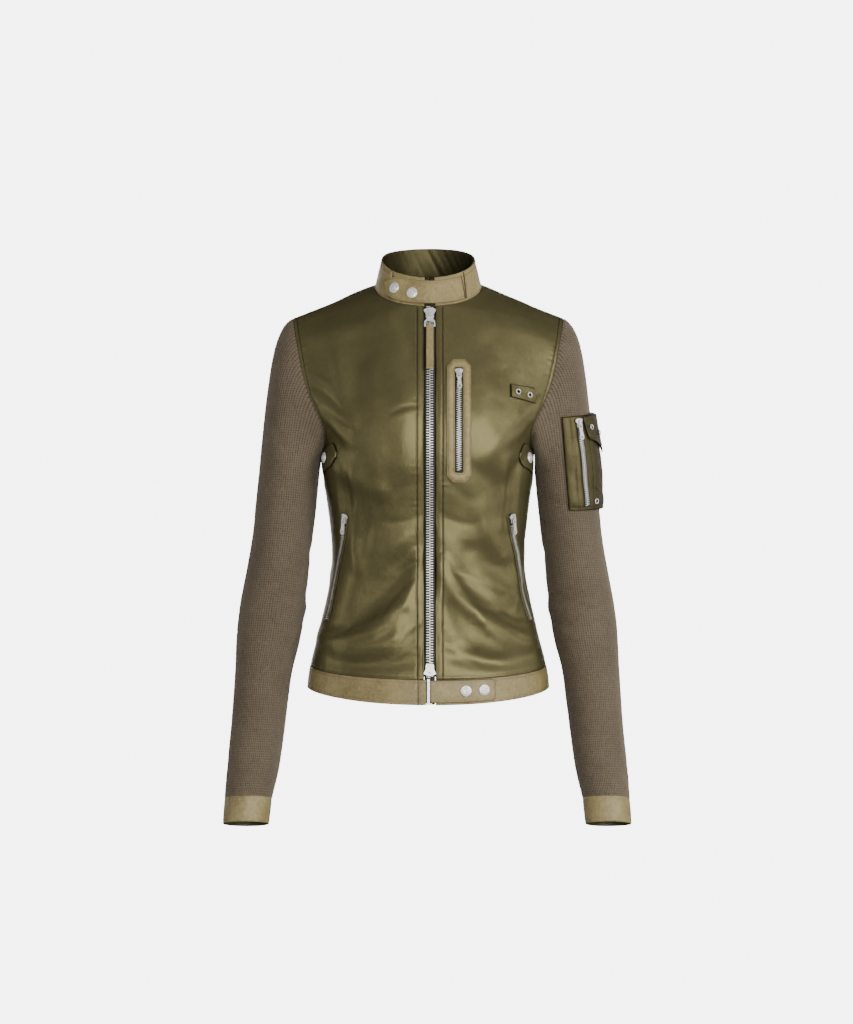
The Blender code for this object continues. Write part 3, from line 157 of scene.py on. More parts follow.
# finer creases of the same cloth
FRONT_CREASES = (
    (-44, -146, -32, -140, -20, -137, 3.0, -1.0), (-46, -152, -32, -147, -16, -145, 4.0, 0.7),
    (-149, -112, -128, -124, -112, -142, 3.2, -1.2),
    (-146, -156, -126, -168, -112, -186, 3.4, -1.1),
    (-138, -176, -120, -192, -108, -214, 3.6, 0.9), (-152, -96, -134, -104, -122, -114, 3.0, 0.8),
    (149, -116, 132, -128, 118, -144, 3.2, -1.2), (147, -152, 130, -164, 116, -184, 3.4, -1.1),
    (140, -172, 124, -190, 112, -212, 3.6, 0.9), (152, -100, 138, -108, 126, -118, 3.0, 0.7),
    (-118, -216, -115, -250, -112, -296, 3.4, 1.0), (-104, -222, -99, -256, -95, -300, 3.2, -0.9),
    (-88, -232, -84, -262, -80, -300, 3.6, -0.8), (-74, -242, -72, -268, -66, -304, 4.0, 0.6),
    (120, -214, 116, -252, 113, -292, 3.4, 1.0), (106, -220, 101, -254, 97, -296, 3.2, -0.9),
    (92, -228, 87, -262, 84, -296, 3.6, -0.8), (76, -238, 74, -266, 70, -300, 4.0, 0.6),
    (-10, -322, -40, -342, -70, -370, 5.0, 1.1), (-8, -346, -38, -372, -60, -404, 4.0, -1.2),
    (-30, -398, -56, -410, -92, -424, 5.0, -1.6), (-18, -352, -30, -392, -44, -430, 5.0, 1.5),
    (-44, -428, -70, -440, -100, -442, 4.5, 1.3), (-104, -420, -118, -430, -134, -436, 3.2, -1.2),
    (-96, -400, -112, -408, -126, -412, 3.4, 0.9), (-8, -410, -24, -420, -40, -438, 3.5, -1.0),
    (18, -326, 42, -368, 68, -410, 4.5, 1.5), (64, -408, 78, -424, 96, -436, 4.0, 1.2),
    (34, -348, 62, -356, 96, -372, 5.0, -1.4), (40, -372, 66, -392, 98, -398, 4.5, -1.3),
    (98, -332, 108, -352, 118, -384, 4.5, 1.3), (104, -424, 118, -434, 136, -440, 3.2, -1.2),
    (92, -398, 108, -410, 126, -416, 3.4, 0.9), (14, -404, 26, -426, 40, -444, 3.6, -1.0),
    (16, -432, 34, -448, 60, -462, 3.5, 0.8), (-14, -434, -34, -450, -58, -464, 3.5, 0.8),
    (-62, -62, -70, -96, -72, -140, 12, 0.9), (66, -60, 78, -90, 84, -104, 10, -0.8),
    (66, -150, 84, -176, 92, -214, 11, 1.1), (-24, -100, -28, -150, -30, -210, 12, 0.9),
    (-112, -58, -116, -84, -112, -112, 9, 1.0), (20, -226, 40, -246, 66, -262, 7, -0.8),
    (-16, -232, -42, -246, -66, -268, 7, -0.7), (-12, -276, -34, -284, -58, -282, 5, -0.8),
    (16, -272, 36, -284, 62, -286, 5, -0.8), (-60, -196, -66, -216, -62, -240, 9, 0.7),
)
BACK_CREASES = (
    (-150, -112, -130, -126, -116, -146, 3.2, -1.1), (150, -114, 130, -128, 118, -148, 3.2, -1.1),
    (-147, -156, -128, -172, -112, -196, 3.6, 0.9), (148, -158, 128, -170, 114, -192, 3.6, 0.9),
    (-118, -220, -112, -256, -108, -300, 3.4, 1.0), (118, -222, 113, -254, 106, -298, 3.4, 1.0),
    (-92, -262, -60, -296, -24, -316, 5.0, 1.3), (90, -266, 58, -300, 20, -322, 5.0, 1.2),
    (-72, -300, -40, -322, -8, -340, 4.5, -1.3), (74, -304, 44, -324, 10, -346, 4.5, -1.2),
    (-100, -340, -60, -362, -20, -380, 5.0, 1.1), (96, -344, 60, -360, 14, -384, 5.0, 1.2),
    (-110, -376, -72, -392, -30, -398, 4.5, -1.1), (104, -380, 70, -400, 30, -408, 4.5, 1.0),
    (-60, -420, -20, -432, 22, -434, 5.0, 1.1), (96, -436, 50, -446, 0, -452, 4.0, -1.0),
    (-124, -430, -104, -440, -80, -446, 3.5, -1.0), (126, -426, 108, -438, 88, -446, 3.5, 0.9),
    (-40, -80, -44, -130, -38, -190, 14, 0.9), (42, -76, 46, -126, 38, -186, 14, 0.8),
    (0, -40, 4, -110, -2, -200, 16, -0.9), (-90, -80, -96, -120, -92, -170, 10, 0.8),
    (92, -84, 96, -126, 90, -172, 10, 0.7), (-10, -220, 6, -246, 24, -262, 6, -0.8),
)
# sleeve rings: height of the middle, outer x, inner x, depth of the middle, half depth, tilt
SLEEVE_RINGS = (
    (-643, 261.5, 200.5, -42.5, 34, 14.0), (-603, 258.5, 191.5, -33, 36, 13.5),
    (-562, 255.0, 186.0, -22, 38, 13.0), (-520, 252.0, 181.0, -12, 40.5, 11.5),
    (-478, 250.0, 175.0, -3, 43, 9.0), (-447, 248.7, 167.0, 3, 44.5, 6.5),
    (-416, 246.4, 161.0, 6.5, 45.5, 4.0), (-395, 243.6, 158.4, 7.5, 46, 2.5),
    (-354, 235.5, 154.7, 7, 47, 1.0), (-312, 228.3, 149.5, 6, 49, 0.0),
    (-270, 223.3, 144.6, 5, 50.5, 0.0), (-229, 219.0, 140.4, 4, 52, 0.0),
)
CUFF_RINGS = (
    (-676, 263.5, 204.0, -50.5, 33, 15.0), (-643, 261.5, 200.5, -42.5, 34.6, 14.0),
)
SLEEVE_SWING = {"right": 1.3, "left": -1.3}
CAP_REACH, PIT_REACH = (31.0, 118.0), (9.0, 11.0)
# height, angle from the outside round by the front, half height, half angle, height of fold
SLEEVE_FOLDS = (
    (-384, 120, 7, 60, -2.2), (-402, 150, 7, 55, 1.8), (-420, 130, 6, 50, -1.6),
    (-560, 100, 8, 45, -1.2), (-600, 60, 8, 45, -1.2), (-330, 200, 8, 50, -1.5),
)
# finer creases: height and angle at one end, height and angle at the other, half width, height
SLEEVE_CREASES = (
    (-352, 160, -372, 60, 5, -1.0), (-366, 170, -392, 80, 5, 0.9), (-408, 150, -398, 60, 5, -1.1),
    (-430, 140, -446, 50, 6, 0.8), (-236, 160, -262, 70, 7, 0.7), (-200, 120, -240, 60, 8, -0.8),
    (-548, 60, -566, 130, 6, -0.9), (-580, 40, -590, 120, 6, 0.8), (-612, 30, -604, 110, 6, -0.8),
    (-346, 200, -360, 300, 6, -0.9), (-398, 230, -384, 320, 6, 0.8),
    (-500, 250, -520, 320, 8, -0.7),
    (-570, 230, -584, 310, 6, -0.8), (-280, 240, -300, 320, 7, 0.8), (-150, 40, -190, 80, 9, -0.8),
)
# waffle cells round a sleeve, length and depth of one, rows of the plain inside
WAFFLE_AROUND, WAFFLE_ROW, WAFFLE_DEEP, INSIDE_ROWS = 84, 3.19, 0.8, 40
CUFF_OVERLAP = 2.0

COLLAR_RIM_HALF, COLLAR_RIM_Y, COLLAR_RIM_Z = 60.0, (4.0, 54.0), (52.0, -25.5, 15.5)
# collar strap: angle, lower and upper edge up the collar
STRAP = (
    (-60, 0.48, 0.54), (-51, 0.12, 0.70), (-46, 0.08, 0.79), (-41, 0.07, 0.87), (-10, 0.07, 0.87),
    (10, 0.07, 0.87), (28, 0.07, 0.87), (44, 0.07, 0.87),
)
STRAP_SNAPS = ((-40.0, 0.45), (-17.7, 0.40))
# lower edge of the hem band: depth or half width, and height; then how far the band stands out
BAND_FRONT, BAND_SIDE, BAND_BACK = (-119.5, -514.0), (157.3, -504.0), (119.0, -505.0)
BAND_PROUD = 0.6
HEM_TAB, HEM_TAB_EDGES, HEM_SNAPS = (3.6, 85.0), (0.04, 0.9), ((47.5, 0.45), (70.5, 0.45))
SURROUND = 1.6
# chest pocket: half width, top, bottom and cut corner; half width, top and bottom of its slit
CHEST_MIDDLE_X = 38.5
CHEST_OUTER, CHEST_OPENING = (15.4, -78.5, -233.0, 8.0, 9.0), (5.2, -89.0, -220.0)
EYELET_TAB = ((103.5, -109.4), (103.9, -125.8), (136.0, -134.5), (135.0, -114.6))
TAB_EYELETS = ((113.9, -119.1), (128.6, -123.2))
EYELET = (3.0, 0.70)
# side tab: angle from the front, lower and upper edge
SIDE_TAB = (
    (58, -203, -196), (62, -214, -185), (67, -218, -187), (72, -222, -192), (77, -226, -197),
)
SIDE_SNAP = (69.5, -204.0)
SIDE_ZIP = (
    (-414, 72.5), (-391, 71.5), (-370, 72), (-348, 71), (-331, 68), (-309, 63.5), (-275, 57.5),
)
# zips: half tape, half chain, height; and the distance from tooth to tooth
MAIN_ZIP, POCKET_ZIP = (6.7, 4.2, 2.0), (4.6, 2.9, 1.5)
MAIN_PITCH, POCKET_PITCH = 3.31, 2.8
# sleeve pocket: what it spans round the arm and up it, its rise, and how far it stands out
POCKET_ANGLES, POCKET_HEIGHTS = (92.0, -38.0), (-271.5, -152.0)
POCKET_RISE, POCKET_WALL = 5.0, (2.2, 7.0)
POCKET_WIDE, POCKET_TALL = 118, 120
ARM_AXIS = ((-290, 184, 5), (-229, 178.5, 4), (-140, 171, 2))
POCKET_ZIP_AT = ((0.19, 0.04), (0.16, 0.97))
FLAP = ((0.215, 0.93), (0.25, 0.75), (0.44, 0.68), (0.67, 0.58), (0.86, 0.67), (0.98, 0.74))
FLAP_TOP = 0.985
FLAP_EYELETS, POCKET_EYELET = ((0.315, 0.865), (0.51, 0.795)), (0.325, 0.09)
# snap cap: radius and height down its outer side, with plain rings
SNAP = (
    (0.0, 2.9), (1.2, 2.86), (1.8, 2.66), (2.15, 2.2), (2.45, 2.02), (2.8, 2.16), (3.1, 2.42),
    (3.9, 2.36), (4.6, 2.16),
    (4.95, 1.82), (5.3, 1.62), (5.65, 1.72), (6.3, 1.48), (6.9, 1.0), (7.2, 0.5), (7.2, 0.12),
    (7.0, 0.0), (0.0, 0.0),
)
SNAP_SEAT = 6.9


# ---------------------------------------------------------------- shapes, as in the part
def read(table, key):
    """Every column of a table at keys between its rows, on a smooth cubic."""
    rows = np.asarray(table, float)
    keys, values = rows[:, 0], rows[:, 1:]
    slopes = np.gradient(values, keys, axis=0)
    key = np.asarray(key, float)
    i = np.clip(np.searchsorted(keys, key) - 1, 0, len(keys) - 2)
    step = (keys[i + 1] - keys[i])[..., None]
    f = (key - keys[i])[..., None] / step
    return (
        values[i] * (1 + 2 * f) * (1 - f) ** 2
        + slopes[i] * step * f * (1 - f) ** 2
        + values[i + 1] * f * f * (3 - 2 * f)
        + slopes[i + 1] * step * f * f * (f - 1)
    )


AROUND = [(row[0] + turn, *row[1:]) for turn in (-360, 0, 360) for row in ARMHOLE]


def armhole(angle):
    """Points of the left armhole seam; 0 is the shoulder point, 90 the front, 180 the underarm."""
    return read(AROUND, np.asarray(angle, float) % 360)


def start_point(p, front, edge_x):
    """Centre line from the hem (0) to the neck (1), then the neckline to the shoulder (2)."""
    if p > 1:
        first = math.degrees(math.asin(edge_x / NECK_HALF))
        angle = math.radians(first + (90 - first) * (p - 1))
        y, z = NECK_FRONT if front else NECK_BACK
        c = math.cos(angle)
        return np.array([NECK_HALF * math.sin(angle), y * c, NECK_SIDE_Z + (z - NECK_SIDE_Z) * c])
    bottom, top = (HEM_FRONT_Z, NECK_FRONT[1]) if front else (HEM_BACK_Z, NECK_BACK[1])
    z = bottom + (top - bottom) * p
    return np.array([edge_x, read(CENTRE_FRONT if front else CENTRE_BACK, z)[0], z])


def edge_point(q, front):
    """Side seam from the hem (0) to the underarm (1), then the armhole to the shoulder (2)."""
    if q > 1:
        return armhole(180 * (2 - q) if front else 180 * q)
    z = HEM_SIDE_Z + (armhole(180)[2] - HEM_SIDE_Z) * q
    x, y = read(SIDE, z)
    return np.array([x, y, z])


def bezier(a, b, c, d, f):
    """Points of cubic Bezier curves."""
    g = 1 - f
    return a * g ** 3 + 3 * b * f * g * g + 3 * c * f * f * g + d * f ** 3


def panel_rows(places, across, front, edge_x):
    """The left half of the front or the back: rows at places, columns from centre to edge."""
    table = read(FRONT_ROWS if front else BACK_ROWS, places)
    start = np.array([start_point(p, front, edge_x) for p in places])
    edge = np.array([edge_point(q, front) for q in table[:, 0]])
    reach_in, reach_out, swell, dip_in, turn, dip_out = table[:, 1:].T
    turn = np.radians(turn)
    d_in = np.stack([np.ones_like(swell), swell, dip_in], 1) * reach_in[:, None]
    d_out = np.stack([np.cos(turn), np.sin(turn), dip_out], 1) * reach_out[:, None]
    u = across[None, :, None]
    return bezier(
        start[:, None], (start + d_in)[:, None], (edge - d_out)[:, None], edge[:, None], u
    )


def eased_rows(grid, low, high, steps=36):
    """The same panel with its middle evened out between two rows, away from its edge."""
    off = np.linalg.norm(grid - grid[:, -1:], axis=2)
    rows = np.arange(len(grid))[:, None]
    weight = np.clip((off - 3) / 14, 0, 1) * np.clip(np.minimum(rows - low, high - rows) / 10, 0, 1)
    for _ in range(steps):
        even = grid.copy()
        even[1:-1] = (grid[:-2] + grid[2:] + 2 * grid[1:-1]) / 4
        grid = grid + (even - grid) * weight[..., None]
    return grid


def sewn_columns(grid, first, last, step):
    """The same panel with columns at set distances from start and edge, and even ones between."""
    lengths = run_of(grid, 1)
    count = max(2, int((lengths[:, -1].mean() - first[-1] - last[-1]) / step))
    rows = []
    for points, run in zip(grid, lengths):
        share = min(1.0, run[-1] / (first[-1] + last[-1] + 3.0))
        start, end = first * share, run[-1] - last[::-1] * share
        at = np.concatenate([start[:-1], np.linspace(start[-1], end[0], count + 1), end[1:]])
        rows.append(at_run(at, run, points))
    return np.array(rows)


def run_of(grid, axis):
    """How far each point of a grid is along its row or column."""
    steps = np.linalg.norm(np.diff(grid, axis=axis), axis=2)
    zero = np.zeros_like(steps[:, :1] if axis == 1 else steps[:1])
    return np.cumsum(np.concatenate([zero, steps], axis=axis), axis=axis)


def run_along(points):
    """How far each point of a line is along it."""
    steps = np.linalg.norm(np.diff(points, axis=0), axis=1)
    return np.concatenate([[0], np.cumsum(steps)])


def at_run(at, run, values):
    """Points between the rows of values, at places of their run."""
    return np.stack([np.interp(at, run, values[:, k]) for k in range(3)], -1)


def grid_normals(grid, closed=False):
    """Unit normals of a grid of points, across its rows and columns."""
    if closed:
        du = np.roll(grid, -1, axis=1) - np.roll(grid, 1, axis=1)
    else:
        du = np.gradient(grid, axis=1)
    dv = np.gradient(grid, axis=0)
    normals = np.cross(du, dv)
    return normals / np.maximum(np.linalg.norm(normals, axis=2, keepdims=True), 1e-9)


def fold_height(x, z, folds):
    """Sum of the folds at places of a panel, seen from in front; each fold is a soft bend."""
    total = np.zeros_like(x)
    for x0, z0, x1, z1, x2, z2, half, height in folds:
        best = np.full_like(x, 1e9)
        place = np.zeros_like(x)
        steps = np.linspace(0, 1, 7)
        line_x = (
            x0 * (1 - steps) ** 2
            + 2 * (2 * x1 - (x0 + x2) / 2) * steps * (1 - steps)
            + x2 * steps ** 2
        )
        line_z = (
            z0 * (1 - steps) ** 2
            + 2 * (2 * z1 - (z0 + z2) / 2) * steps * (1 - steps)
            + z2 * steps ** 2
        )
        for i in range(len(steps) - 1):
            ax, az = line_x[i + 1] - line_x[i], line_z[i + 1] - line_z[i]
            f = np.clip(((x - line_x[i]) * ax + (z - line_z[i]) * az) / (ax * ax + az * az), 0, 1)
            d = np.hypot(x - line_x[i] - f * ax, z - line_z[i] - f * az)
            closer = d < best
            best = np.where(closer, d, best)
            place = np.where(closer, (i + f) / (len(steps) - 1), place)
        total += height * np.exp(-(best / half) ** 2) * (1 - 0.35 * np.abs(2 * place - 1))
    return total


def roughly(points, size, seed):
    """Soft noise of -1 to 1 at points (mm), with features of a size."""
    flat = points.reshape(-1, points.shape[-1]) / size
    values = np.array(
        [noise.noise(Vector((p[0] + seed * 7.3, p[1] - seed * 3.1, p[2] + seed))) for p in flat]
    )
    return values.reshape(points.shape[:-1])


def wave_along(lengths, pitch, seed):
    """Uneven puckers of about -1 to 1 along a seam, about a pitch apart."""
    rng = np.random.default_rng(seed)
    total = np.zeros_like(lengths)
    for share in (0.7, 1.0, 1.45):
        total += np.sin(
            2 * math.pi * lengths / (pitch * share * rng.uniform(0.9, 1.1)) + rng.uniform(0, 6)
        )
    return total / 2.2


def bell(distance, middle, half):
    """A soft ridge across a distance."""
    return np.exp(-((distance - middle) / half) ** 2)


# ---------------------------------------------------------------- meshes
def quads(rows, columns, closed=False, first=0):
    """Faces of a grid of points."""
    r = np.arange(rows - 1)[:, None]
    c = np.arange(columns if closed else columns - 1)[None, :]
    d = (c + 1) % columns
    corners = [first + r * columns + c, first + r * columns + d]
    corners += [first + (r + 1) * columns + d, first + (r + 1) * columns + c]
    return np.stack(np.broadcast_arrays(*corners), -1).reshape(-1, 4).tolist()


def add_piece(name, points, faces, material, body="jacket", flip=False, values=None, angle=None):
    """A piece from points (mm) and faces, riding on a body; values are numbers kept at points."""
    points = np.array(points, float)
    if flip:
        points[:, 0] *= -1
        faces = [face[::-1] for face in faces]
    mesh = bpy.data.meshes.new(name)
    mesh.from_pydata((points * MM).tolist(), [], faces)
    mesh.update()
    if len(faces) < MANY_FACES:
        shape = bmesh.new()
        shape.from_mesh(mesh)
        bmesh.ops.recalc_face_normals(shape, faces=shape.faces)
        shape.to_mesh(mesh)
        shape.free()
    mesh.shade_smooth()
    if angle:
        mesh.set_sharp_from_angle(angle=math.radians(angle))
    for key, value in (values or {}).items():
        layer = mesh.attributes.new(key, "FLOAT", "POINT")
        layer.data.foreach_set("value", np.asarray(value, float).ravel())
    mesh.materials.append(material)
    obj = bpy.data.objects.new(name, mesh)
    bpy.context.scene.collection.objects.link(obj)
    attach(obj, body)
    return obj


def point_normals(points, faces):
    """Normals at the points of a surface."""
    normals = np.zeros_like(points)
    by_size = {}
    for face in faces:
        by_size.setdefault(len(face), []).append(face)
    for group in by_size.values():
        group = np.array(group)
        a, b, c = points[group[:, 0]], points[group[:, 1]], points[group[:, 2]]
        if group.shape[1] == 4:
            cross = np.cross(c - a, points[group[:, -1]] - b)
        else:
            cross = np.cross(b - a, c - a)
        for k in range(group.shape[1]):
            np.add.at(normals, group[:, k], cross)
    return normals / np.maximum(np.linalg.norm(normals, axis=1, keepdims=True), 1e-9)


def open_edges(faces):
    """Edges that belong to one face, each in that face's direction."""
    seen = {}
    for face in faces:
        for a, b in zip(face, face[1:] + face[:1]):
            key = (min(a, b), max(a, b))
            seen[key] = None if key in seen else (a, b)
    return [edge for edge in seen.values() if edge]


def shell(name, points, faces, thickness, material, values=None, **options):
    """A closed wall of cloth whose outer side is given; its rims are rounded."""
    points = np.asarray(points, float)
    normals = point_normals(points, faces)
    rim = open_edges(faces)
    at_rim = np.zeros(len(points), bool)
    at_rim[np.array(rim).ravel()] = True
    drop = np.where(at_rim, 0.28 * thickness, 0.0)[:, None]
    deep = np.where(at_rim, 0.72 * thickness, thickness)[:, None]
    count = len(points)
    every = faces + [[i + count for i in face[::-1]] for face in faces]
    every += [[b, a, a + count, b + count] for a, b in rim]
    both = np.concatenate([points - normals * drop, points - normals * deep])
    values = {key: np.concatenate([np.ravel(v), np.ravel(v)]) for key, v in (values or {}).items()}
    values["inside"] = np.concatenate([np.zeros(count), np.ones(count)])
    return add_piece(name, both, every, material, values=values, **options)


def slab(name, outer, near, material, closed=False, values=None, **options):
    """A closed body between two grids of points, with rounded upper edges."""
    rows, columns = outer.shape[:2]
    outer = outer.copy()
    share = 0.35
    outer[0] += (near[0] - outer[0]) * share
    outer[-1] += (near[-1] - outer[-1]) * share
    if not closed:
        outer[1:-1, 0] += (near[1:-1, 0] - outer[1:-1, 0]) * share
        outer[1:-1, -1] += (near[1:-1, -1] - outer[1:-1, -1]) * share
    count = rows * columns
    faces = quads(rows, columns, closed)
    rim = open_edges(faces)
    every = faces + [[i + count for i in face[::-1]] for face in faces]
    every += [[b, a, a + count, b + count] for a, b in rim]
    both = np.concatenate([outer.reshape(-1, 3), near.reshape(-1, 3)])
    values = {key: np.concatenate([np.ravel(v), np.ravel(v)]) for key, v in (values or {}).items()}
    return add_piece(name, both, every, material, values=values, **options)


def surface(*grids, closed=False):
    """A surface that rays can meet, from grids of points (mm)."""
    verts, faces = [], []
    for grid in grids:
        rows, columns = grid.shape[:2]
        faces += quads(rows, columns, closed, len(verts))
        verts += [Vector(p) for row in grid for p in row]
    return BVHTree.FromPolygons(verts, faces)


def meet(tree, start, target):
    """Where a ray meets a surface, and the surface's normal there, turned towards the ray."""
    start, target = Vector(start), Vector(target)
    point, normal, _, _ = tree.ray_cast(start, (target - start).normalized())
    if point is None:
        point, normal, _, _ = tree.find_nearest(target)
    if normal.dot(target - start) > 0:
        normal = -normal
    return np.array(point), np.array(normal)


def from_front(tree, x, z):
    """Where a ray from far in front meets a surface, and the surface's normal there."""
    return meet(tree, (x, -FAR, z), (x, 0, z))


def smooth_normals(normals):
    """Normals of laid-on points, evened out between neighbours."""
    for _ in range(2):
        pad = np.pad(normals, ((1, 1), (1, 1), (0, 0)), mode="edge")
        normals = normals + pad[:-2, 1:-1] + pad[2:, 1:-1] + pad[1:-1, :-2] + pad[1:-1, 2:]
        normals = normals / np.linalg.norm(normals, axis=2, keepdims=True)
    return normals


def laid(places, lift=LAID):
    """A grid of points just over a surface, and its normals."""
    points = np.array([[point for point, _ in row] for row in places])
    normals = smooth_normals(np.array([[normal for _, normal in row] for row in places]))
    return points + normals * lift, normals


def place_at(point, x, y, z):
    """A place at a point, with its three directions."""
    return Matrix.Translation(point) @ Matrix((x, y, z)).transposed().to_4x4()


def stand(point, normal, up, lift=0.0):
    """A place on a surface (mm): x across, y up, z out of it."""
    out = Vector(normal).normalized()
    across = Vector(up).cross(out).normalized()
    up = out.cross(across)
    return place_at(Vector(point) + out * lift, across, up, out)


def copies(shape, places):
    """One mesh of many copies of a small shape at places; the shape is (points, faces)."""
    points, faces = shape
    points = np.array(points, float)
    all_points, all_faces = [], []
    for i, place in enumerate(places):
        matrix = np.array(place)
        all_points.append(points @ matrix[:3, :3].T + matrix[:3, 3])
        first = i * len(points)
        all_faces += [[first + k for k in face] for face in faces]
    return np.concatenate(all_points), all_faces


def lathe(profile, steps):
    """A round shape from radius and height down its outer side."""
    points, faces = [], []
    angles = [2 * math.pi * i / steps for i in range(steps)]
    index = []
    for r, h in profile:
        if r == 0:
            index.append([len(points)] * steps)
            points.append((0, 0, h))
        else:
            index.append(list(range(len(points), len(points) + steps)))
            points += [(r * math.cos(a), r * math.sin(a), h) for a in angles]
    for low, high in zip(index, index[1:]):
        for i in range(steps):
            j = (i + 1) % steps
            face = list(dict.fromkeys((high[i], high[j], low[j], low[i])))
            if len(face) > 2:
                faces.append(face)
    return points, faces


def thread_shape(length=2.5, radius=0.3):
    """One stitch: a small rounded length of thread along x."""
    profile = [(-0.5, 0.0), (-0.4, 0.7), (0.0, 1.0), (0.4, 0.7), (0.5, 0.0)]
    points, faces = lathe([(r * radius, h * length) for h, r in reversed(profile)], 6)
    return [(z, x, y) for x, y, z in points], faces


STITCHES = {}


def stitch(line, out, colour="olive", pitch=3.1, flip=False, sink=0.05, group=None):
    """Stitches along a line of points (mm), which lie on the cloth facing out."""
    line, out = np.asarray(line, float), np.asarray(out, float)
    lengths = run_along(line)
    if lengths[-1] < pitch:
        return
    at = np.arange(pitch * 0.5, lengths[-1], pitch)
    ways = at_run(at + 0.6, lengths, line) - at_run(at - 0.6, lengths, line)
    for point, along, normal in zip(at_run(at, lengths, line), ways, at_run(at, lengths, out)):
        if flip:
            point, along, normal = (v * (-1, 1, 1) for v in (point, along, normal))
        if np.linalg.norm(along) < 0.3:
            continue
        x = Vector(along).normalized()
        z = Vector(normal)
        y = z.cross(x).normalized()
        z = x.cross(y)
        STITCHES.setdefault(group or colour, []).append(place_at(Vector(point) + z * sink, x, y, z))


def line_across(grid, normals, field, value, rows=None):
    """The points of a grid's rows where a field that grows along them has a value."""
    points, outs = [], []
    for r in rows if rows is not None else range(len(grid)):
        if field[r, -1] < value or field[r, 0] > value:
            continue
        points.append(at_run(value, field[r], grid[r]))
        outs.append(at_run(value, field[r], normals[r]))
    return np.array(points), np.array(outs)


def line_along(grid, normals, field, value):
    """The points of a grid's columns where a field that grows up them has a value."""
    return line_across(grid.transpose(1, 0, 2), normals.transpose(1, 0, 2), field.T, value)


def strips(last, step, edge=(0.0, 0.9, 2.0)):
    """Even places from 0 to a length with narrow strips at both ends, as parts of 1."""
    middle = np.linspace(edge[-1], last - edge[-1], max(2, int((last - 2 * edge[-1]) / step)) + 1)
    ends = [last - e for e in reversed(edge[:-1])]
    return np.concatenate([edge[:-1], middle, ends]) / last


# ---------------------------------------------------------------- materials
def shader(name, roughness, metallic=0.0, **sockets):
    """A material with its Principled shader, and its places in the part's own frame."""
    material = bpy.data.materials.new(name)
    material.use_nodes = True
    tree = material.node_tree
    bsdf = tree.nodes["Principled BSDF"]
    bsdf.inputs["Roughness"].default_value = roughness
    bsdf.inputs["Metallic"].default_value = metallic
    for key, value in sockets.items():
        bsdf.inputs[key.replace("_", " ")].default_value = value
    place = tree.nodes.new("ShaderNodeTexCoord")
    return material, tree, bsdf, place.outputs["Object"]


def noise_node(tree, place, scale, detail=3.0, rough=0.5, stretch=None):
    """A noise over places; its features are about 1 / scale metres across."""
    if stretch:
        mapping = tree.nodes.new("ShaderNodeMapping")
        mapping.inputs["Scale"].default_value = stretch
        tree.links.new(place, mapping.inputs["Vector"])
        place = mapping.outputs["Vector"]
    node = tree.nodes.new("ShaderNodeTexNoise")
    node.inputs["Scale"].default_value = scale
    node.inputs["Detail"].default_value = detail
    node.inputs["Roughness"].default_value = rough
    tree.links.new(place, node.inputs["Vector"])
    return node.outputs["Fac"]


def ramp_node(tree, value, stops):
    """A colour ramp: place and colour of each stop."""
    node = tree.nodes.new("ShaderNodeValToRGB")
    ramp = node.color_ramp
    while len(ramp.elements) < len(stops):
        ramp.elements.new(0.5)
    for element, (place, colour) in zip(ramp.elements, stops):
        element.position = place
        element.color = (*colour, 1) if len(colour) == 3 else colour
    tree.links.new(value, node.inputs["Fac"])
    return node.outputs["Color"]


def mix_node(tree, factor, a, b, kind="MIX"):
    """Two colours mixed by a factor; each is a socket or a colour."""
    node = tree.nodes.new("ShaderNodeMix")
    node.data_type = "RGBA"
    node.blend_type = kind
    for socket, value in ((node.inputs[0], factor), (node.inputs[6], a), (node.inputs[7], b)):
        if isinstance(value, (tuple, float, int)):
            socket.default_value = (*value, 1) if isinstance(value, tuple) else value
        else:
            tree.links.new(value, socket)
    return node.outputs[2]


def level_node(tree, value, low, high, to_low, to_high):
    """A value brought from one range to another."""
    node = tree.nodes.new("ShaderNodeMapRange")
    for key, number in (
        ("From Min", low), ("From Max", high), ("To Min", to_low), ("To Max", to_high)
    ):
        node.inputs[key].default_value = number
    tree.links.new(value, node.inputs["Value"])
    return node.outputs["Result"]


def bump_node(tree, bsdf, heights):
    """Bumps one on another: height socket and depth in metres of each."""
    last = None
    for height, depth in heights:
        node = tree.nodes.new("ShaderNodeBump")
        node.inputs["Strength"].default_value = 1.0
        node.inputs["Distance"].default_value = depth
        tree.links.new(height, node.inputs["Height"])
        if last:
            tree.links.new(last, node.inputs["Normal"])
        last = node.outputs["Normal"]
    tree.links.new(last, bsdf.inputs["Normal"])


def value_of(tree, name):
    """A number kept at the mesh's points."""
    node = tree.nodes.new("ShaderNodeAttribute")
    node.attribute_name = name
    return node.outputs["Fac"]


def weave(tree, place, across, along):
    """Height of a fine twill: diagonal lines by two crossed waves."""
    heights = []
    for direction, scale in (("DIAGONAL", across), ("Z", along)):
        node = tree.nodes.new("ShaderNodeTexWave")
        node.wave_type = "BANDS"
        node.bands_direction = direction
        node.inputs["Scale"].default_value = scale
        node.inputs["Distortion"].default_value = 0.6
        tree.links.new(place, node.inputs["Vector"])
        heights.append(node.outputs["Fac"])
    return mix_node(tree, 0.5, heights[0], heights[1], "MULTIPLY")


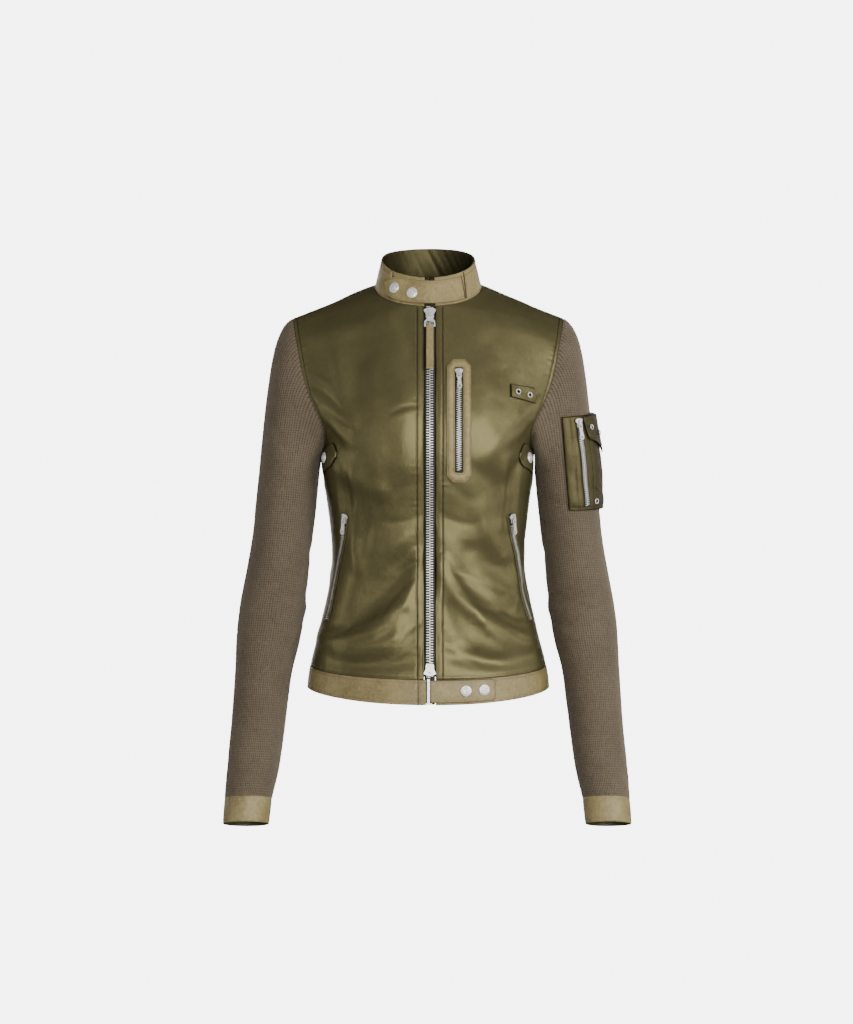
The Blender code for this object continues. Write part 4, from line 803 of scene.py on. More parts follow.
def satin(name, low, high, dark, roughness):
    """Nylon satin: soft tinted gloss, fine weave, small crumples; darker inside; painted shade
    along seams and rims.
    """
    material, tree, bsdf, place = shader(name, roughness, 0.60, Specular_IOR_Level=0.25)
    bsdf.inputs["Specular Tint"].default_value = (0.30, 0.28, 0.19, 1)
    broad = noise_node(tree, place, 22, 3)
    small = noise_node(tree, place, 210, 4, 0.6)
    colour = ramp_node(tree, broad, [(0.0, low), (1.0, high)])
    colour = mix_node(tree, level_node(tree, small, 0.3, 0.7, 0.0, 0.10), colour, dark)
    colour = mix_node(tree, value_of(tree, "inside"), colour, dark)
    # painted shade: the 'seam' value darkens the satin nearly to black along seams, rims and tab,
    # welt and pocket edges, where shade falls
    colour = mix_node(tree, value_of(tree, "seam"), colour, (0.018, 0.015, 0.006))
    tree.links.new(colour, bsdf.inputs["Base Color"])
    tree.links.new(
        level_node(tree, broad, 0.0, 1.0, roughness - 0.06, roughness + 0.07),
        bsdf.inputs["Roughness"]
    )
    crumple = noise_node(tree, place, 95, 2, 0.5, (1, 1, 0.7))
    bump_node(
        tree, bsdf, [(crumple, 0.00035), (small, 0.00008), (weave(tree, place, 900, 1300), 0.00003)]
    )
    return material


def leather(name, low, high, worn, roughness):
    """Smooth leather: mottled, fine grain, worn paler in places; painted shade in grooves and along
    rims.
    """
    material, tree, bsdf, place = shader(name, roughness, 0.0, Specular_IOR_Level=0.4)
    broad = noise_node(tree, place, 34, 4, 0.6)
    spots = noise_node(tree, place, 240, 5, 0.65)
    colour = ramp_node(tree, broad, [(0.32, low), (0.68, high)])
    colour = mix_node(tree, level_node(tree, spots, 0.52, 0.72, 0.0, 0.5), colour, worn)
    colour = mix_node(tree, level_node(tree, spots, 0.46, 0.3, 0.0, 0.3), colour, low, "MULTIPLY")
    # painted shade: the 'dark' value darkens slits, stitch grooves, tucked ends and rims, where
    # shade falls
    colour = mix_node(tree, value_of(tree, "dark"), colour, (0.040, 0.026, 0.013))
    colour = mix_node(tree, value_of(tree, "inside"), colour, (0.050, 0.042, 0.020))
    tree.links.new(colour, bsdf.inputs["Base Color"])
    tree.links.new(
        level_node(tree, spots, 0.3, 0.7, roughness - 0.07, roughness + 0.1),
        bsdf.inputs["Roughness"]
    )
    grain = tree.nodes.new("ShaderNodeTexVoronoi")
    grain.feature = "SMOOTH_F1"
    grain.inputs["Scale"].default_value = 850
    tree.links.new(place, grain.inputs["Vector"])
    dents = noise_node(tree, place, 120, 3, 0.55)
    bump_node(tree, bsdf, [(dents, 0.0006), (grain.outputs["Distance"], 0.00014)])
    return material


def knit(name, low, high, yarn_fleck_and_pit_shade):
    """Waffle knit: matt yarn, with painted shade in its pits."""
    material, tree, bsdf, place = shader(
        name, 0.92, 0.0, Specular_IOR_Level=0.18, Sheen_Weight=0.28, Sheen_Roughness=0.5
    )
    bsdf.inputs["Sheen Tint"].default_value = (0.72, 0.66, 0.56, 1)
    broad = noise_node(tree, place, 18, 3)
    yarn = noise_node(tree, place, 900, 3, 0.6)
    colour = ramp_node(tree, broad, [(0.3, low), (0.7, high)])
    colour = mix_node(tree, level_node(tree, yarn, 0.35, 0.65, 0.0, 0.3), colour, yarn_fleck_and_pit_shade)
    # painted shade: the lower the waffle relief, the darker the colour, as if shade fell in the
    # pits
    colour = mix_node(
        tree, level_node(tree, value_of(tree, "relief"), 0.75, 0.0, 0.0, 0.85), colour, yarn_fleck_and_pit_shade
    )
    tree.links.new(colour, bsdf.inputs["Base Color"])
    bump_node(tree, bsdf, [(yarn, 0.0005)])
    return material


def metal(name, low, high, roughness):
    """Polished nickel with a little tarnish and fine wear, and painted shade in its crevices."""
    material, tree, bsdf, place = shader(name, roughness, 0.5)
    tarnish = noise_node(tree, place, 260, 4, 0.6)
    # painted shade: ambient occlusion darkens the colour in crevices between teeth and parts
    near = tree.nodes.new("ShaderNodeAmbientOcclusion")
    near.samples = 12
    near.inputs["Distance"].default_value = 0.002
    shade = level_node(tree, near.outputs["AO"], 0.3, 0.75, 0.0, 1.0)
    bright = ramp_node(tree, tarnish, [(0.35, low), (0.65, high)])
    tree.links.new(mix_node(tree, shade, (0.012, 0.011, 0.009), bright), bsdf.inputs["Base Color"])
    tree.links.new(
        level_node(tree, tarnish, 0.3, 0.7, roughness - 0.03, roughness + 0.08),
        bsdf.inputs["Roughness"]
    )
    bump_node(tree, bsdf, [(noise_node(tree, place, 1500, 2), 0.000008)])
    return material


def woven(name, low, high, roughness):
    """Woven tape or sewing thread."""
    material, tree, bsdf, place = shader(name, roughness, 0.0, Specular_IOR_Level=0.35)
    lines = weave(tree, place, 700, 900)
    tree.links.new(mix_node(tree, lines, low, high), bsdf.inputs["Base Color"])
    bump_node(tree, bsdf, [(lines, 0.00012)])
    return material


SATIN_OLIVE = satin(
    "olive_satin", (0.122, 0.107, 0.048), (0.160, 0.140, 0.066), (0.05, 0.043, 0.019), 0.39
)
SATIN_POCKET = satin(
    "pocket_satin", (0.066, 0.057, 0.026), (0.096, 0.083, 0.039), (0.05, 0.043, 0.019), 0.44
)
SATIN_LINING = satin(
    "lining_satin", (0.055, 0.047, 0.021), (0.08, 0.069, 0.032), (0.065, 0.056, 0.026), 0.40
)
KNIT_TAUPE = knit("taupe_knit", (0.150, 0.116, 0.076), (0.178, 0.139, 0.092), (0.024, 0.017, 0.011))
LEATHER_KHAKI = leather(
    "khaki_leather", (0.215, 0.166, 0.066), (0.325, 0.258, 0.108), (0.43, 0.35, 0.165), 0.48
)
NICKEL = metal("nickel", (0.74, 0.72, 0.69), (0.95, 0.93, 0.90), 0.34)
TAPE_DARK = woven("dark_tape", (0.016, 0.014, 0.008), (0.056, 0.050, 0.030), 0.8)
THREADS = {
    "olive": woven("olive_thread", (0.075, 0.064, 0.028), (0.16, 0.14, 0.075), 0.6),
    "khaki": woven("khaki_thread", (0.25, 0.19, 0.10), (0.42, 0.34, 0.20), 0.6),
}
# painted shade for the inside of eyelet holes
PAINTED_HOLE_SHADE = woven("painted_hole_shade", (0.004, 0.0035, 0.002), (0.012, 0.010, 0.006), 0.9)


# ---------------------------------------------------------------- body
def front_edge_x(side):
    """Distance of a front's edge beside the zip from the middle of the body."""
    return TAPE_HALF + SEAM + (ZIP_X if side == "left" else -ZIP_X)


# distances of the finer columns beside the seams
NEAR_ZIP = np.array([0, 0.8, 1.7, 2.4, 3.2, 4.6, 6.2, 7.5, 8.2, 8.9, 9.6, 10.3, 11.6, 13.4])
NEAR_EDGE = np.array([0, 0.8, 1.8, 3.0, 4.0, 4.6, 5.2, 5.8, 6.4, 7.6, 9.4])
NEAR_MIDDLE = np.array([0, 0.6, 1.2, 2.2, 4.0])
# rows of the front and the back: up to the neck (1), then out to the shoulder (2)
BODY_PLACES, BACK_PLACES = (
    np.concatenate([strips(tall, step)[:-2], 1 + strips(105, step)[2:]])
    for tall, step in ((471, 2.3), (510, 3.0))
)


def body_cloth(grid, sign, folds, broad, creases, seed, front):
    """A panel's base points with its folds, its crumples and the pull of its seams, and painted
    shade along its seams and rims.
    """
    edge = grid[:, -1].copy()
    normals = grid_normals(grid) if front else -grid_normals(grid)
    if not front:
        normals[:, 0, 0] = 0
    spots = grid * (sign, 1, 1)
    x, z = sign * grid[..., 0], grid[..., 2]
    fade = np.clip(np.linalg.norm(grid - edge[:, None], axis=2) / FOLD_FADE, 0, 1)
    height = fold_height(x, z, folds) * fade
    near = np.clip(np.linalg.norm(grid - edge[:, None], axis=2) / 9, 0, 1)
    height += 0.9 * fold_height(x, z, creases) * near
    height += fold_height(x, z, broad) * np.clip(near * 1.5 - 0.2, 0, 1)
    height += 1.1 * roughly(spots * (1, 1, 0.8), 42, seed) * near
    height += 0.12 * roughly(spots * (0.8, 1, 1.2), 12, seed + 5) * near
    waist = bell(z, -345, 75)
    height += 0.4 * waist * roughly(spots * (0.5, 1, 1.4), 20, seed + 9) * near
    from_start, along = run_of(grid, 1), run_of(grid, 0)
    from_edge = from_start[:, -1:] - from_start
    from_top = along[-1:] - along
    at_arm = z > -200
    ripple = wave_along(along, 9.0, seed + 1)
    if front:
        placket = z < -12
        fine = wave_along(along, 7.5, seed + 2) * (0.5 + 0.5 * wave_along(along, 60, seed + 3))
        seam_at = 8.9
        height += placket * (
            -0.8 * bell(from_start, seam_at, 0.8)
            + 0.55 * fine * np.exp(-np.abs(from_start - seam_at) / 4.5) * (from_start > seam_at - 4)
            + 0.35 * bell(from_start, seam_at - 3, 3.0)
            - 0.22 * bell(from_start, 2.4, 0.8)
        )
    else:
        height -= 0.5 * bell(from_start, 0, 1.0) * (grid[..., 2] < 28)
    height += at_arm * (-0.6 * bell(from_edge, 5.2, 0.9) + 0.3 * ripple * bell(from_edge, 8, 4.0))
    height += ~at_arm * (0.35 * ripple * np.exp(-from_edge / 6))
    height += 0.45 * wave_along(from_start, 10.5, seed + 4) * np.exp(-along / 7)
    height -= 0.5 * bell(along, 2.2, 0.9)
    height -= 0.5 * bell(from_top, 4.2, 0.9) * (from_start > 3)
    height += 0.25 * wave_along(from_start, 9, seed + 6) * np.exp(-from_top / 6)
    border = np.minimum(
        np.minimum(from_start if front else 99 + from_start, from_edge), np.minimum(along, from_top)
    )
    height *= np.clip(border / 2.0, 0.0, 1)
    # painted shade along the seams, the placket, the hem edge and the panel's rims, kept as 'seam'
    seam = (
        0.75 * at_arm * bell(from_edge, 5.2, 0.8)
        + 0.5 * bell(along, 0.2, 0.8)
        + 0.6 * bell(from_edge, 0, 1.0)
    )
    seam += 0.6 * bell(from_top, 4.2, 0.8) * (from_start > 3)
    if front:
        seam += placket * (0.8 * bell(from_start, seam_at, 0.65) + 0.5 * bell(from_start, 0, 0.9))
        seam += placket * 0.2 * bell(from_start, 2.4, 0.5)
    else:
        seam += 0.7 * bell(from_start, 0, 1.0)
    moved = grid + normals * height[..., None]
    moved[0] = moved[0] - normals[0] * 0.6 + (0, 0, -1.4)
    return moved, from_start, from_edge, along, from_top, np.clip(seam, 0, 0.9)


def front_panel(side):
    """A front: its points (for the wearer's left, mirrored for the right) and runs."""
    sign, edge_x = (1, front_edge_x("left")) if side == "left" else (-1, front_edge_x("right"))
    grid = panel_rows(BODY_PLACES, np.linspace(0, 1 - SEAM / 2 / 200, 161), True, edge_x)
    grid = eased_rows(grid, *np.searchsorted(BODY_PLACES, (0.42, 0.86)))
    grid = sewn_columns(grid, NEAR_ZIP, NEAR_EDGE, 2.3)
    grid[-1, :, 1] -= SEAM / 2
    return body_cloth(
        grid, sign, FRONT_FOLDS, FRONT_BROAD, FRONT_CREASES, 3 if side == "left" else 11, True
    )


def back_panel(sign):
    """Half of the back, as for the wearer's left."""
    grid = panel_rows(BACK_PLACES, np.linspace(0, 1 - SEAM / 2 / 200, 161), False, 0.0)
    grid = eased_rows(grid, *np.searchsorted(BACK_PLACES, (0.38, 0.86)))
    grid = sewn_columns(grid, NEAR_MIDDLE, NEAR_EDGE, 2.8)
    grid[-1, :, 1] += SEAM / 2
    return body_cloth(grid, sign, BACK_FOLDS, BACK_BROAD, BACK_CREASES, 21, False)


FRONTS = {}
for side in ("right", "left"):
    grid, from_start, from_edge, along, from_top, seam = front_panel(side)
    flip = side == "right"
    rows, columns = grid.shape[:2]
    obj = shell(f"front_{side}_satin", grid.reshape(-1, 3), quads(rows, columns), SATIN,
                SATIN_OLIVE, flip=flip,
                values={"seam": seam})
    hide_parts(f"front_{side}")
    normals = grid_normals(grid)
    low_rows = [r for r in range(rows) if grid[r, 0, 2] < -13 and along[r, 0] > 3]
    for place in (2.4, 10.6):
        stitch(*line_across(grid, normals, from_start, place, low_rows), pitch=3.0, flip=flip)
    arm_rows = [r for r in range(rows) if grid[r, -1, 2] > -196 and from_top[r, 0] > 4]
    for place in (1.8, 6.6):
        stitch(*line_across(grid, normals, -from_edge, -place, arm_rows), flip=flip)
    stitch(*line_along(grid, normals, -from_top, -5.4), flip=flip)
    stitch(*line_along(grid, normals, along, 3.4), flip=flip)
    FRONTS[side] = grid * (-1, 1, 1) if flip else grid

halves, seam_shades = [], []
for sign in (1, -1):
    grid, from_start, from_edge, along, from_top, seam = back_panel(sign)
    halves.append(grid)
    seam_shades.append(seam)
    normals = -grid_normals(grid)
    arm_rows = [r for r in range(len(grid)) if grid[r, -1, 2] > -196 and from_top[r, 0] > 4]
    for place in (1.8, 6.6):
        stitch(*line_across(grid, normals, -from_edge, -place, arm_rows), flip=sign < 0)
    stitch(*line_along(grid, normals, along, 3.4), flip=sign < 0)
rows, columns = halves[0].shape[:2]
middle = (halves[0][:, 0] + halves[1][:, 0]) / 2
for half in halves:
    half[BACK_PLACES <= 1, 0] = middle[BACK_PLACES <= 1]
left_points, right_points = halves[0][:, ::-1], halves[1] * (-1, 1, 1)
shared = int((BACK_PLACES <= 1).sum())
points = np.concatenate([left_points.reshape(-1, 3), right_points.reshape(-1, 3)])
faces = quads(rows, columns) + quads(rows, columns, first=rows * columns)
weld = {rows * columns + r * columns: r * columns + columns - 1 for r in range(shared)}
faces = [[weld.get(i, i) for i in face] for face in faces]
used = sorted({i for face in faces for i in face})
renumber = {old: new for new, old in enumerate(used)}
faces = [[renumber[i] for i in face] for face in faces]
# painted shade along the back's seams and rims
seam = np.concatenate([seam_shades[0][:, ::-1].ravel(), seam_shades[1].ravel()])[used]
obj = shell("back_satin", points[used], faces, SATIN, SATIN_OLIVE, values={"seam": seam})
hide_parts("back")
BACKS = (left_points, right_points)


# ---------------------------------------------------------------- sleeves
def arm_rings(table, heights, side, a):
    """Rings of a sleeve or cuff at heights (wearer's left), by angle round from the outside."""
    outer, inner, y, half_depth, tilt = read(table, heights).T
    middle, half = (outer + inner) / 2 + SLEEVE_SWING[side], (outer - inner) / 2
    tilt = np.radians(tilt)
    dy = -half_depth[:, None] * np.sin(a)
    rings = np.stack([
        middle[:, None] + half[:, None] * np.cos(a),
        y[:, None] + dy * np.cos(tilt)[:, None],
        heights[:, None] - dy * np.sin(tilt)[:, None],
    ], -1)
    return rings, middle, y


def sleeve_relief(grid, angle, seed):
    """Height of a sleeve's folds, creases and crumples."""
    total = np.zeros(grid.shape[:2])
    for z, at, half_z, half_a, height in SLEEVE_FOLDS:
        turn = (angle - at + 180) % 360 - 180
        total += height * np.exp(-((grid[..., 2] - z) / half_z) ** 2 - (turn / half_a) ** 2)
    for z0, a0, z1, a1, half, height in SLEEVE_CREASES:
        f = np.clip(((angle - a0 + 180) % 360 - 180) / ((a1 - a0 + 180) % 360 - 180), -0.4, 1.4)
        off = np.clip(np.abs(f - 0.5) - 0.5, 0, 1) * 3
        drop = grid[..., 2] - z0 - (z1 - z0) * f
        total += height * np.exp(-(drop / half) ** 2 - (off / 0.35) ** 2)
    return total + 0.5 * roughly(grid, 45, seed)


def sleeve_lines(side, columns):
    """Columns of a sleeve from the cuff seam up to the armhole (wearer's left), and normals."""
    heights = np.linspace(SLEEVE_RINGS[0][0] - CUFF_OVERLAP, SLEEVE_RINGS[-1][0], 150)
    a = 2 * math.pi * np.arange(columns) / columns
    arm, _, _ = arm_rings(SLEEVE_RINGS, heights, side, a)
    high = (1 + np.cos(a)) / 2
    down = np.radians(80 - 54 * high)
    outward = np.stack([np.cos(down), -0.22 * np.sin(a), -np.sin(down)], -1)
    seam = armhole(np.degrees(a)) + outward * SEAM * 2.4
    step = arm[-1] - arm[-2]
    upward = step / np.linalg.norm(step, axis=1, keepdims=True)
    reach_arm = (PIT_REACH[1] + (CAP_REACH[1] - PIT_REACH[1]) * high)[:, None]
    reach_seam = (PIT_REACH[0] + (CAP_REACH[0] - PIT_REACH[0]) * high)[:, None]
    f = np.linspace(0, 1, 61)[1:, None, None]
    cap = bezier(arm[-1], arm[-1] + upward * reach_arm, seam + outward * reach_seam, seam, f)
    tuck = seam + np.stack([-2.4 + 0 * a, 0 * a, -1.2 * high], 1)
    grid = np.concatenate([arm, cap, tuck[None]])
    normals = -grid_normals(grid, True)
    relief = sleeve_relief(grid, np.degrees(a)[None, :], 31 if side == "left" else 41)
    return grid + normals * relief[..., None], normals


def waffle(rows, columns, seed):
    """Heights of waffle cells, from 0 in a pit to 1 on a crossing, a little uneven."""
    odd_row, odd_column = np.arange(rows)[:, None] % 2, np.arange(columns)[None, :] % 2
    relief = np.where(
        odd_row & odd_column, 0.0, np.where(odd_column, 0.55, np.where(odd_row, 0.9, 1.0)))
    return relief + np.random.default_rng(seed).normal(0, 0.09, relief.shape)


def resampled(grid, lengths, at):
    """The columns of a grid at other places of their runs."""
    columns = range(grid.shape[1])
    return np.stack([at_run(at[:, c], lengths[:, c], grid[:, c]) for c in columns], 1)


def knit_sleeve(side, grid, normals):
    """A sleeve with waffle cells outside and a plain inside."""
    columns, lengths, step = grid.shape[1], run_of(grid, 0), WAFFLE_ROW / 2
    count = int(lengths[-1].max() / step) + 1
    at = np.minimum(np.arange(count + 1)[:, None] * step, lengths[-1][None, :])
    points, outs = resampled(grid, lengths, at), resampled(normals, lengths, at)
    relief = waffle(count + 1, columns, 7 if side == "left" else 8)
    near_end = np.clip(np.minimum(at, lengths[-1][None, :] - at) / 3.0, 0, 1)
    points += outs * ((relief - 0.75) * WAFFLE_DEEP * 1.6 * near_end)[..., None]
    # a column's last row is reached sooner where the armhole is lower
    top = np.argmax(at >= lengths[-1][None, :] - 1e-6, axis=0)
    index = np.arange((count + 1) * columns).reshape(count + 1, columns)
    for c in range(columns):
        index[top[c]:, c] = index[top[c], c]
    faces = []
    for r in range(count):
        for c in range(columns):
            d = (c + 1) % columns
            corners = (index[r, c], index[r + 1, c], index[r + 1, d], index[r, d])
            face = list(dict.fromkeys(corners))
            if len(face) > 2:
                faces.append([int(i) for i in face])
    inside_at = np.linspace(0, 1, INSIDE_ROWS)[:, None] * lengths[-1][None, :]
    inner = resampled(grid - normals * KNIT, lengths, inside_at)
    first = (count + 1) * columns
    last = first + (INSIDE_ROWS - 1) * columns
    faces += quads(INSIDE_ROWS, columns, True, first)
    for c in range(columns):
        d = (c + 1) % columns
        faces.append([int(index[0, c]), int(index[0, d]), first + d, first + c])
        faces.append([int(index[-1, d]), int(index[-1, c]), last + c, last + d])
    every = np.concatenate([points.reshape(-1, 3), inner.reshape(-1, 3)])
    values = np.concatenate([relief.ravel(), np.full(INSIDE_ROWS * columns, 0.5)])
    used = np.unique(np.array([i for face in faces for i in face]))
    renumber = np.full(len(every), -1)
    renumber[used] = np.arange(len(used))
    faces = [[int(renumber[i]) for i in face] for face in faces]
    obj = add_piece(f"sleeve_{side}_knit", every[used], faces, KNIT_TAUPE, flip=side == "right",
                    values={"relief": values[used]})
    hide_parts(f"sleeve_{side}")


def leather_cuff(side):
    """A cuff with its seam, a soft swell and a stitched line near each edge."""
    heights = np.linspace(CUFF_RINGS[0][0], CUFF_RINGS[1][0] - SEAM, 14)
    heights = np.concatenate([
        [heights[0]], [heights[0] + 0.9], heights[1:-1], [heights[-1] - 0.9], [heights[-1]],
    ])
    tall = heights[-1] - heights[0]
    cuff, middle, y = arm_rings(CUFF_RINGS, heights, side, 2 * math.pi * np.arange(96) / 96)
    cuff = cuff[:, ::-1]
    normals = grid_normals(cuff, True)
    if (normals[5, 47] * (cuff[5, 47] - cuff[5].mean(0))).sum() < 0:
        cuff = cuff[:, ::-1]
        normals = grid_normals(cuff, True)
    up = (heights - heights[0])[:, None]
    rise = 0.35 * roughly(cuff, 22, 51) + 0.3 * bell(up, 16, 12)
    rise = rise - 0.35 * bell(up, 3.4, 0.9) - 0.35 * bell(up, tall - 3.0, 0.9)
    turn = np.degrees(np.arctan2(-(cuff[..., 1] - y[:, None]), cuff[..., 0] - middle[:, None]))
    seam_at = (turn - 215) % 360
    rise = rise - 0.7 * bell(np.minimum(seam_at, 360 - seam_at), 0, 1.6)
    cuff = cuff + normals * (rise * np.clip(np.minimum(up, tall - up) / 1.5, 0, 1))[..., None]
    obj = shell(f"cuff_{side}_leather", cuff.reshape(-1, 3), quads(*cuff.shape[:2], True), LEATHER,
                LEATHER_KHAKI, flip=side == "right")
    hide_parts(f"cuff_{side}")
    loop = np.concatenate([cuff, cuff[:, :1]], axis=1)
    loop_normals = np.concatenate([normals, normals[:, :1]], axis=1)
    for lift in (4.0, tall - 3.8):
        r = int(np.argmin(np.abs(heights - heights[0] - lift)))
        stitch(loop[r], loop_normals[r], "khaki", flip=side == "right")


SLEEVES = {}
for side in ("right", "left"):
    SLEEVES[side], normals = sleeve_lines(side, WAFFLE_AROUND * 2)
    knit_sleeve(side, SLEEVES[side], normals)
    leather_cuff(side)


# ---------------------------------------------------------------- collar
def collar_points(angle, f):
    """Points of the collar's outer side: angle 0 is the centre front, f runs up from the seam."""
    a = np.radians(np.asarray(angle, float))
    f = np.asarray(f, float)[..., None]
    c, s = np.cos(a), np.sin(a)
    y = np.where(c > 0, NECK_FRONT[0], NECK_BACK[0])
    z = np.where(c > 0, NECK_FRONT[1], NECK_BACK[1])
    low = np.stack([NECK_HALF * s, y * np.abs(c), NECK_SIDE_Z + (z - NECK_SIDE_Z) * np.abs(c)], -1)
    side_z, fall, rise = COLLAR_RIM_Z
    rim_z = side_z + np.where(c > 0, fall * c, rise * np.abs(c) ** 0.75)
    middle, half = COLLAR_RIM_Y
    high = np.stack([COLLAR_RIM_HALF * s, middle - half * c, rim_z], -1)
    return low + (high - low) * f


def on_collar(angle, f):
    """A point on the collar's outer side, and the direction out."""
    point = collar_points(angle, f)
    around = collar_points(angle + 1, f) - collar_points(angle - 1, f)
    rise = collar_points(angle, f + 0.05) - collar_points(angle, f - 0.05)
    out = np.cross(around, rise)
    return point, out / np.linalg.norm(out)


FIRST = math.degrees(math.asin(front_edge_x("left") / NECK_HALF))
LAST = 360 - math.degrees(math.asin(front_edge_x("right") / NECK_HALF))
angles = FIRST + (LAST - FIRST) * strips(415, 2.6)
angles = np.sort(
    np.concatenate([angles] + [np.arange(-5.0, 6.5, 0.7) + slit for slit in (47.5, 312.5)])
)
ups = strips(42, 1.5, (0.0, 0.8, 1.8))
band = collar_points(angles[None, :] + 0 * ups[:, None], ups[:, None] + 0 * angles[None, :])
band[0, :, 2] -= 0.8
normals = grid_normals(band)
run = run_of(band, 1)
up = run_of(band, 0)
from_top = up[-1:] - up
turn = (angles[None, :] + 180) % 360 - 180
rise = 0.35 * roughly(band, 30, 61) + 0.18 * roughly(band, 10, 62)
rise += 0.5 * bell(up, 0.9, 1.1)
rise -= 0.45 * bell(up, 2.9, 0.7)
rise -= 0.4 * bell(from_top, 5.6, 0.8) + 0.25 * bell(from_top, 2.6, 0.7)
rise -= 0.25 * bell(from_top, 0, 1.0)
shade = np.zeros_like(turn + up)
lean = (up - 20) * 0.10
inside_slit = np.clip(np.minimum(up - 3.0, from_top - 0.6), 0, 1)
for slit, side in ((47.5, 1), (-47.5, -1)):
    off = ((turn - slit) * side) * 1.15 - lean
    rise = rise - 1.5 * bell(off, 0, 1.2) * inside_slit + 0.9 * bell(off, 3.4, 2.2) * inside_slit
    shade = shade + np.clip(1.8 * bell(off, -0.1, 0.95), 0, 1) * inside_slit
shade = np.clip(shade + 0.75 * bell(up, 2.9, 0.55) + 0.4 * bell(from_top, 5.6, 0.6), 0, 1)
at_back = np.clip((np.abs(turn) - 66) / 20, 0, 1)
shade = np.clip(shade + at_back * bell(from_top, 0, 1.4), 0, 1)
border = np.minimum(np.minimum(up, from_top), np.minimum(run, run[:, -1:] - run))
band = band + normals * (rise * np.clip(border / 0.8, 0.25, 1))[..., None]
obj = shell("collar_band_leather", band.reshape(-1, 3), quads(*band.shape[:2]), LEATHER,
            LEATHER_KHAKI,
            values={"dark": shade})
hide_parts("collar_band")
for lift in (0.062, 0.875, 0.945):
    places = [on_collar(a, lift) for a in np.linspace(FIRST + 2, LAST - 2, 200)]
    stitch([p + n * 0.05 for p, n in places], [n for _, n in places], "khaki", 2.9)

lining_up = -0.03 + 1.01 * strips(38, 2.0)
lining_angles = np.linspace(0, 360, 170)
lining = collar_points(
    lining_angles[None, :] + 0 * lining_up[:, None], lining_up[:, None] + 0 * lining_angles
)
normals = grid_normals(lining)
around = run_of(lining, 1)
folds = (
    0.34 * wave_along(around, 17, 71)
    + 0.22 * wave_along(around + 6 * lining_up[:, None], 7.5, 72)
)
folds += 0.3 * roughly(lining, 16, 73)
depth = LEATHER + SEAM + 0.55 - np.clip(folds, -0.45, 0.9)
lining = lining - normals * depth[..., None]
obj = shell(
    "collar_lining_satin", lining.reshape(-1, 3), quads(*lining.shape[:2]), 1.0, SATIN_LINING
)
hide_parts("collar_lining")

table = np.array(STRAP)
strap_angles = np.concatenate([np.linspace(-60, -47, 18)[:-1], np.linspace(-47, 44, 62)])
strap_angles = np.concatenate([strap_angles[:-1], [43.2, 44.0]])
low_edge = np.interp(strap_angles, table[:, 0], table[:, 1])
high_edge = np.interp(strap_angles, table[:, 0], table[:, 2])
across = strips(32, 1.5, (0.0, 0.8, 1.8))
near, outs = [], []
for f in across:
    row = [on_collar(a, lo + (hi - lo) * f) for a, lo, hi in zip(strap_angles, low_edge, high_edge)]
    near.append([p + n * 0.75 for p, n in row])
    outs.append([n for _, n in row])
near, outs = np.array(near), np.array(outs)
edge_off = np.minimum(across, 1 - across)[:, None] * (high_edge - low_edge)[None, :] * 42
thick = (
    LEATHER
    + 0.3 * roughly(near, 26, 81)
    + 0.15 * roughly(near, 9, 82)
    - 0.35 * bell(edge_off, 3.0, 0.8)
)
thick = thick - 1.6 * np.clip((strap_angles - 38) / 6, 0, 1)[None, :]
strap = near + outs * thick[..., None]
tip = np.clip((-38 - strap_angles) / 8, 0, 1)[None, :]
shade = np.clip(1.3 - edge_off / 1.2, 0, 0.95) * (0.3 + 0.7 * tip) + 0.35 * bell(edge_off, 3.0, 0.6)
shade[:, -3:] = 0.9
obj = slab(
    "collar_strap_leather", strap, near, LEATHER_KHAKI, values={"dark": np.clip(shade, 0, 0.9)}
)
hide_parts("collar_strap")
for row, at in ((strap[2], 3.0), (strap[-3], 3.0)):
    keep = slice(7, -2)
    stitch(row[keep], outs[2][keep], "khaki", 2.9)
strap_tree = surface(strap)


def snap(name, node, tree, start, target):
    """A domed snap cap with plain rings, which sits on a surface."""
    point, normal = seat(tree, start, target, SNAP_SEAT)
    points, faces = copies(lathe(SNAP, 48), [stand(point, normal, (0, 0, 1), LIFT)])
    obj = add_piece(name, points, faces, NICKEL)
    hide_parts(node)


def seat(tree, start, target, radius):
    """Where a round piece sits on a surface: its middle, just clear all round, and the way out."""
    point, normal = meet(tree, start, target)
    for _ in range(2):
        across = np.cross([0, 0, 1], normal)
        across = across / np.linalg.norm(across)
        up = np.cross(normal, across)
        rim = []
        for a in np.linspace(0, 2 * math.pi, 12, endpoint=False):
            over = point + radius * (across * math.cos(a) + up * math.sin(a)) + normal * 20
            rim.append(meet(tree, over, over - normal)[0])
        normal = np.cross(rim[0] - rim[6], rim[3] - rim[9])
        normal = normal / np.linalg.norm(normal)
    high = max(np.dot(p - point, normal) for p in rim + [point])
    return point + normal * high, normal


for i, (angle, f) in enumerate(STRAP_SNAPS, 1):
    point, normal = on_collar(angle, f)
    snap(f"collar_snap_cap_{i}", f"collar_snap_{i}", strap_tree, point + normal * 20, point)


# ---------------------------------------------------------------- hem band
def band_points(u, quarter, f):
    """Points of the hem band: u from the centre to the side seam, f from its seam to its edge."""
    front = quarter.startswith("front")
    edge_x = {"left": front_edge_x("left"), "right": 2.0}[quarter[6:]] if front else 0.0
    y, z = BAND_FRONT if front else BAND_BACK
    _, reach_in, reach_out, _, _, turn, _ = read(FRONT_ROWS if front else BACK_ROWS, 0.0)
    turn = math.radians(turn)
    d_in = np.array([reach_in, 0.0, 0.0])
    d_out = np.array([math.cos(turn), math.sin(turn), 0.0]) * reach_out
    u = np.atleast_1d(u)[:, None]
    lines = []
    for start, edge in (
        (start_point(0.0, front, edge_x), edge_point(0.0, front)),
        (np.array([edge_x, y, z]), np.array([BAND_SIDE[0], 0.0, BAND_SIDE[1]])),
    ):
        lines.append(bezier(start, start + d_in, edge - d_out, edge, u))
    point = lines[0] * (1 - f) + lines[1] * f
    if quarter.endswith("right"):
        point[:, 0] *= -1
    return point


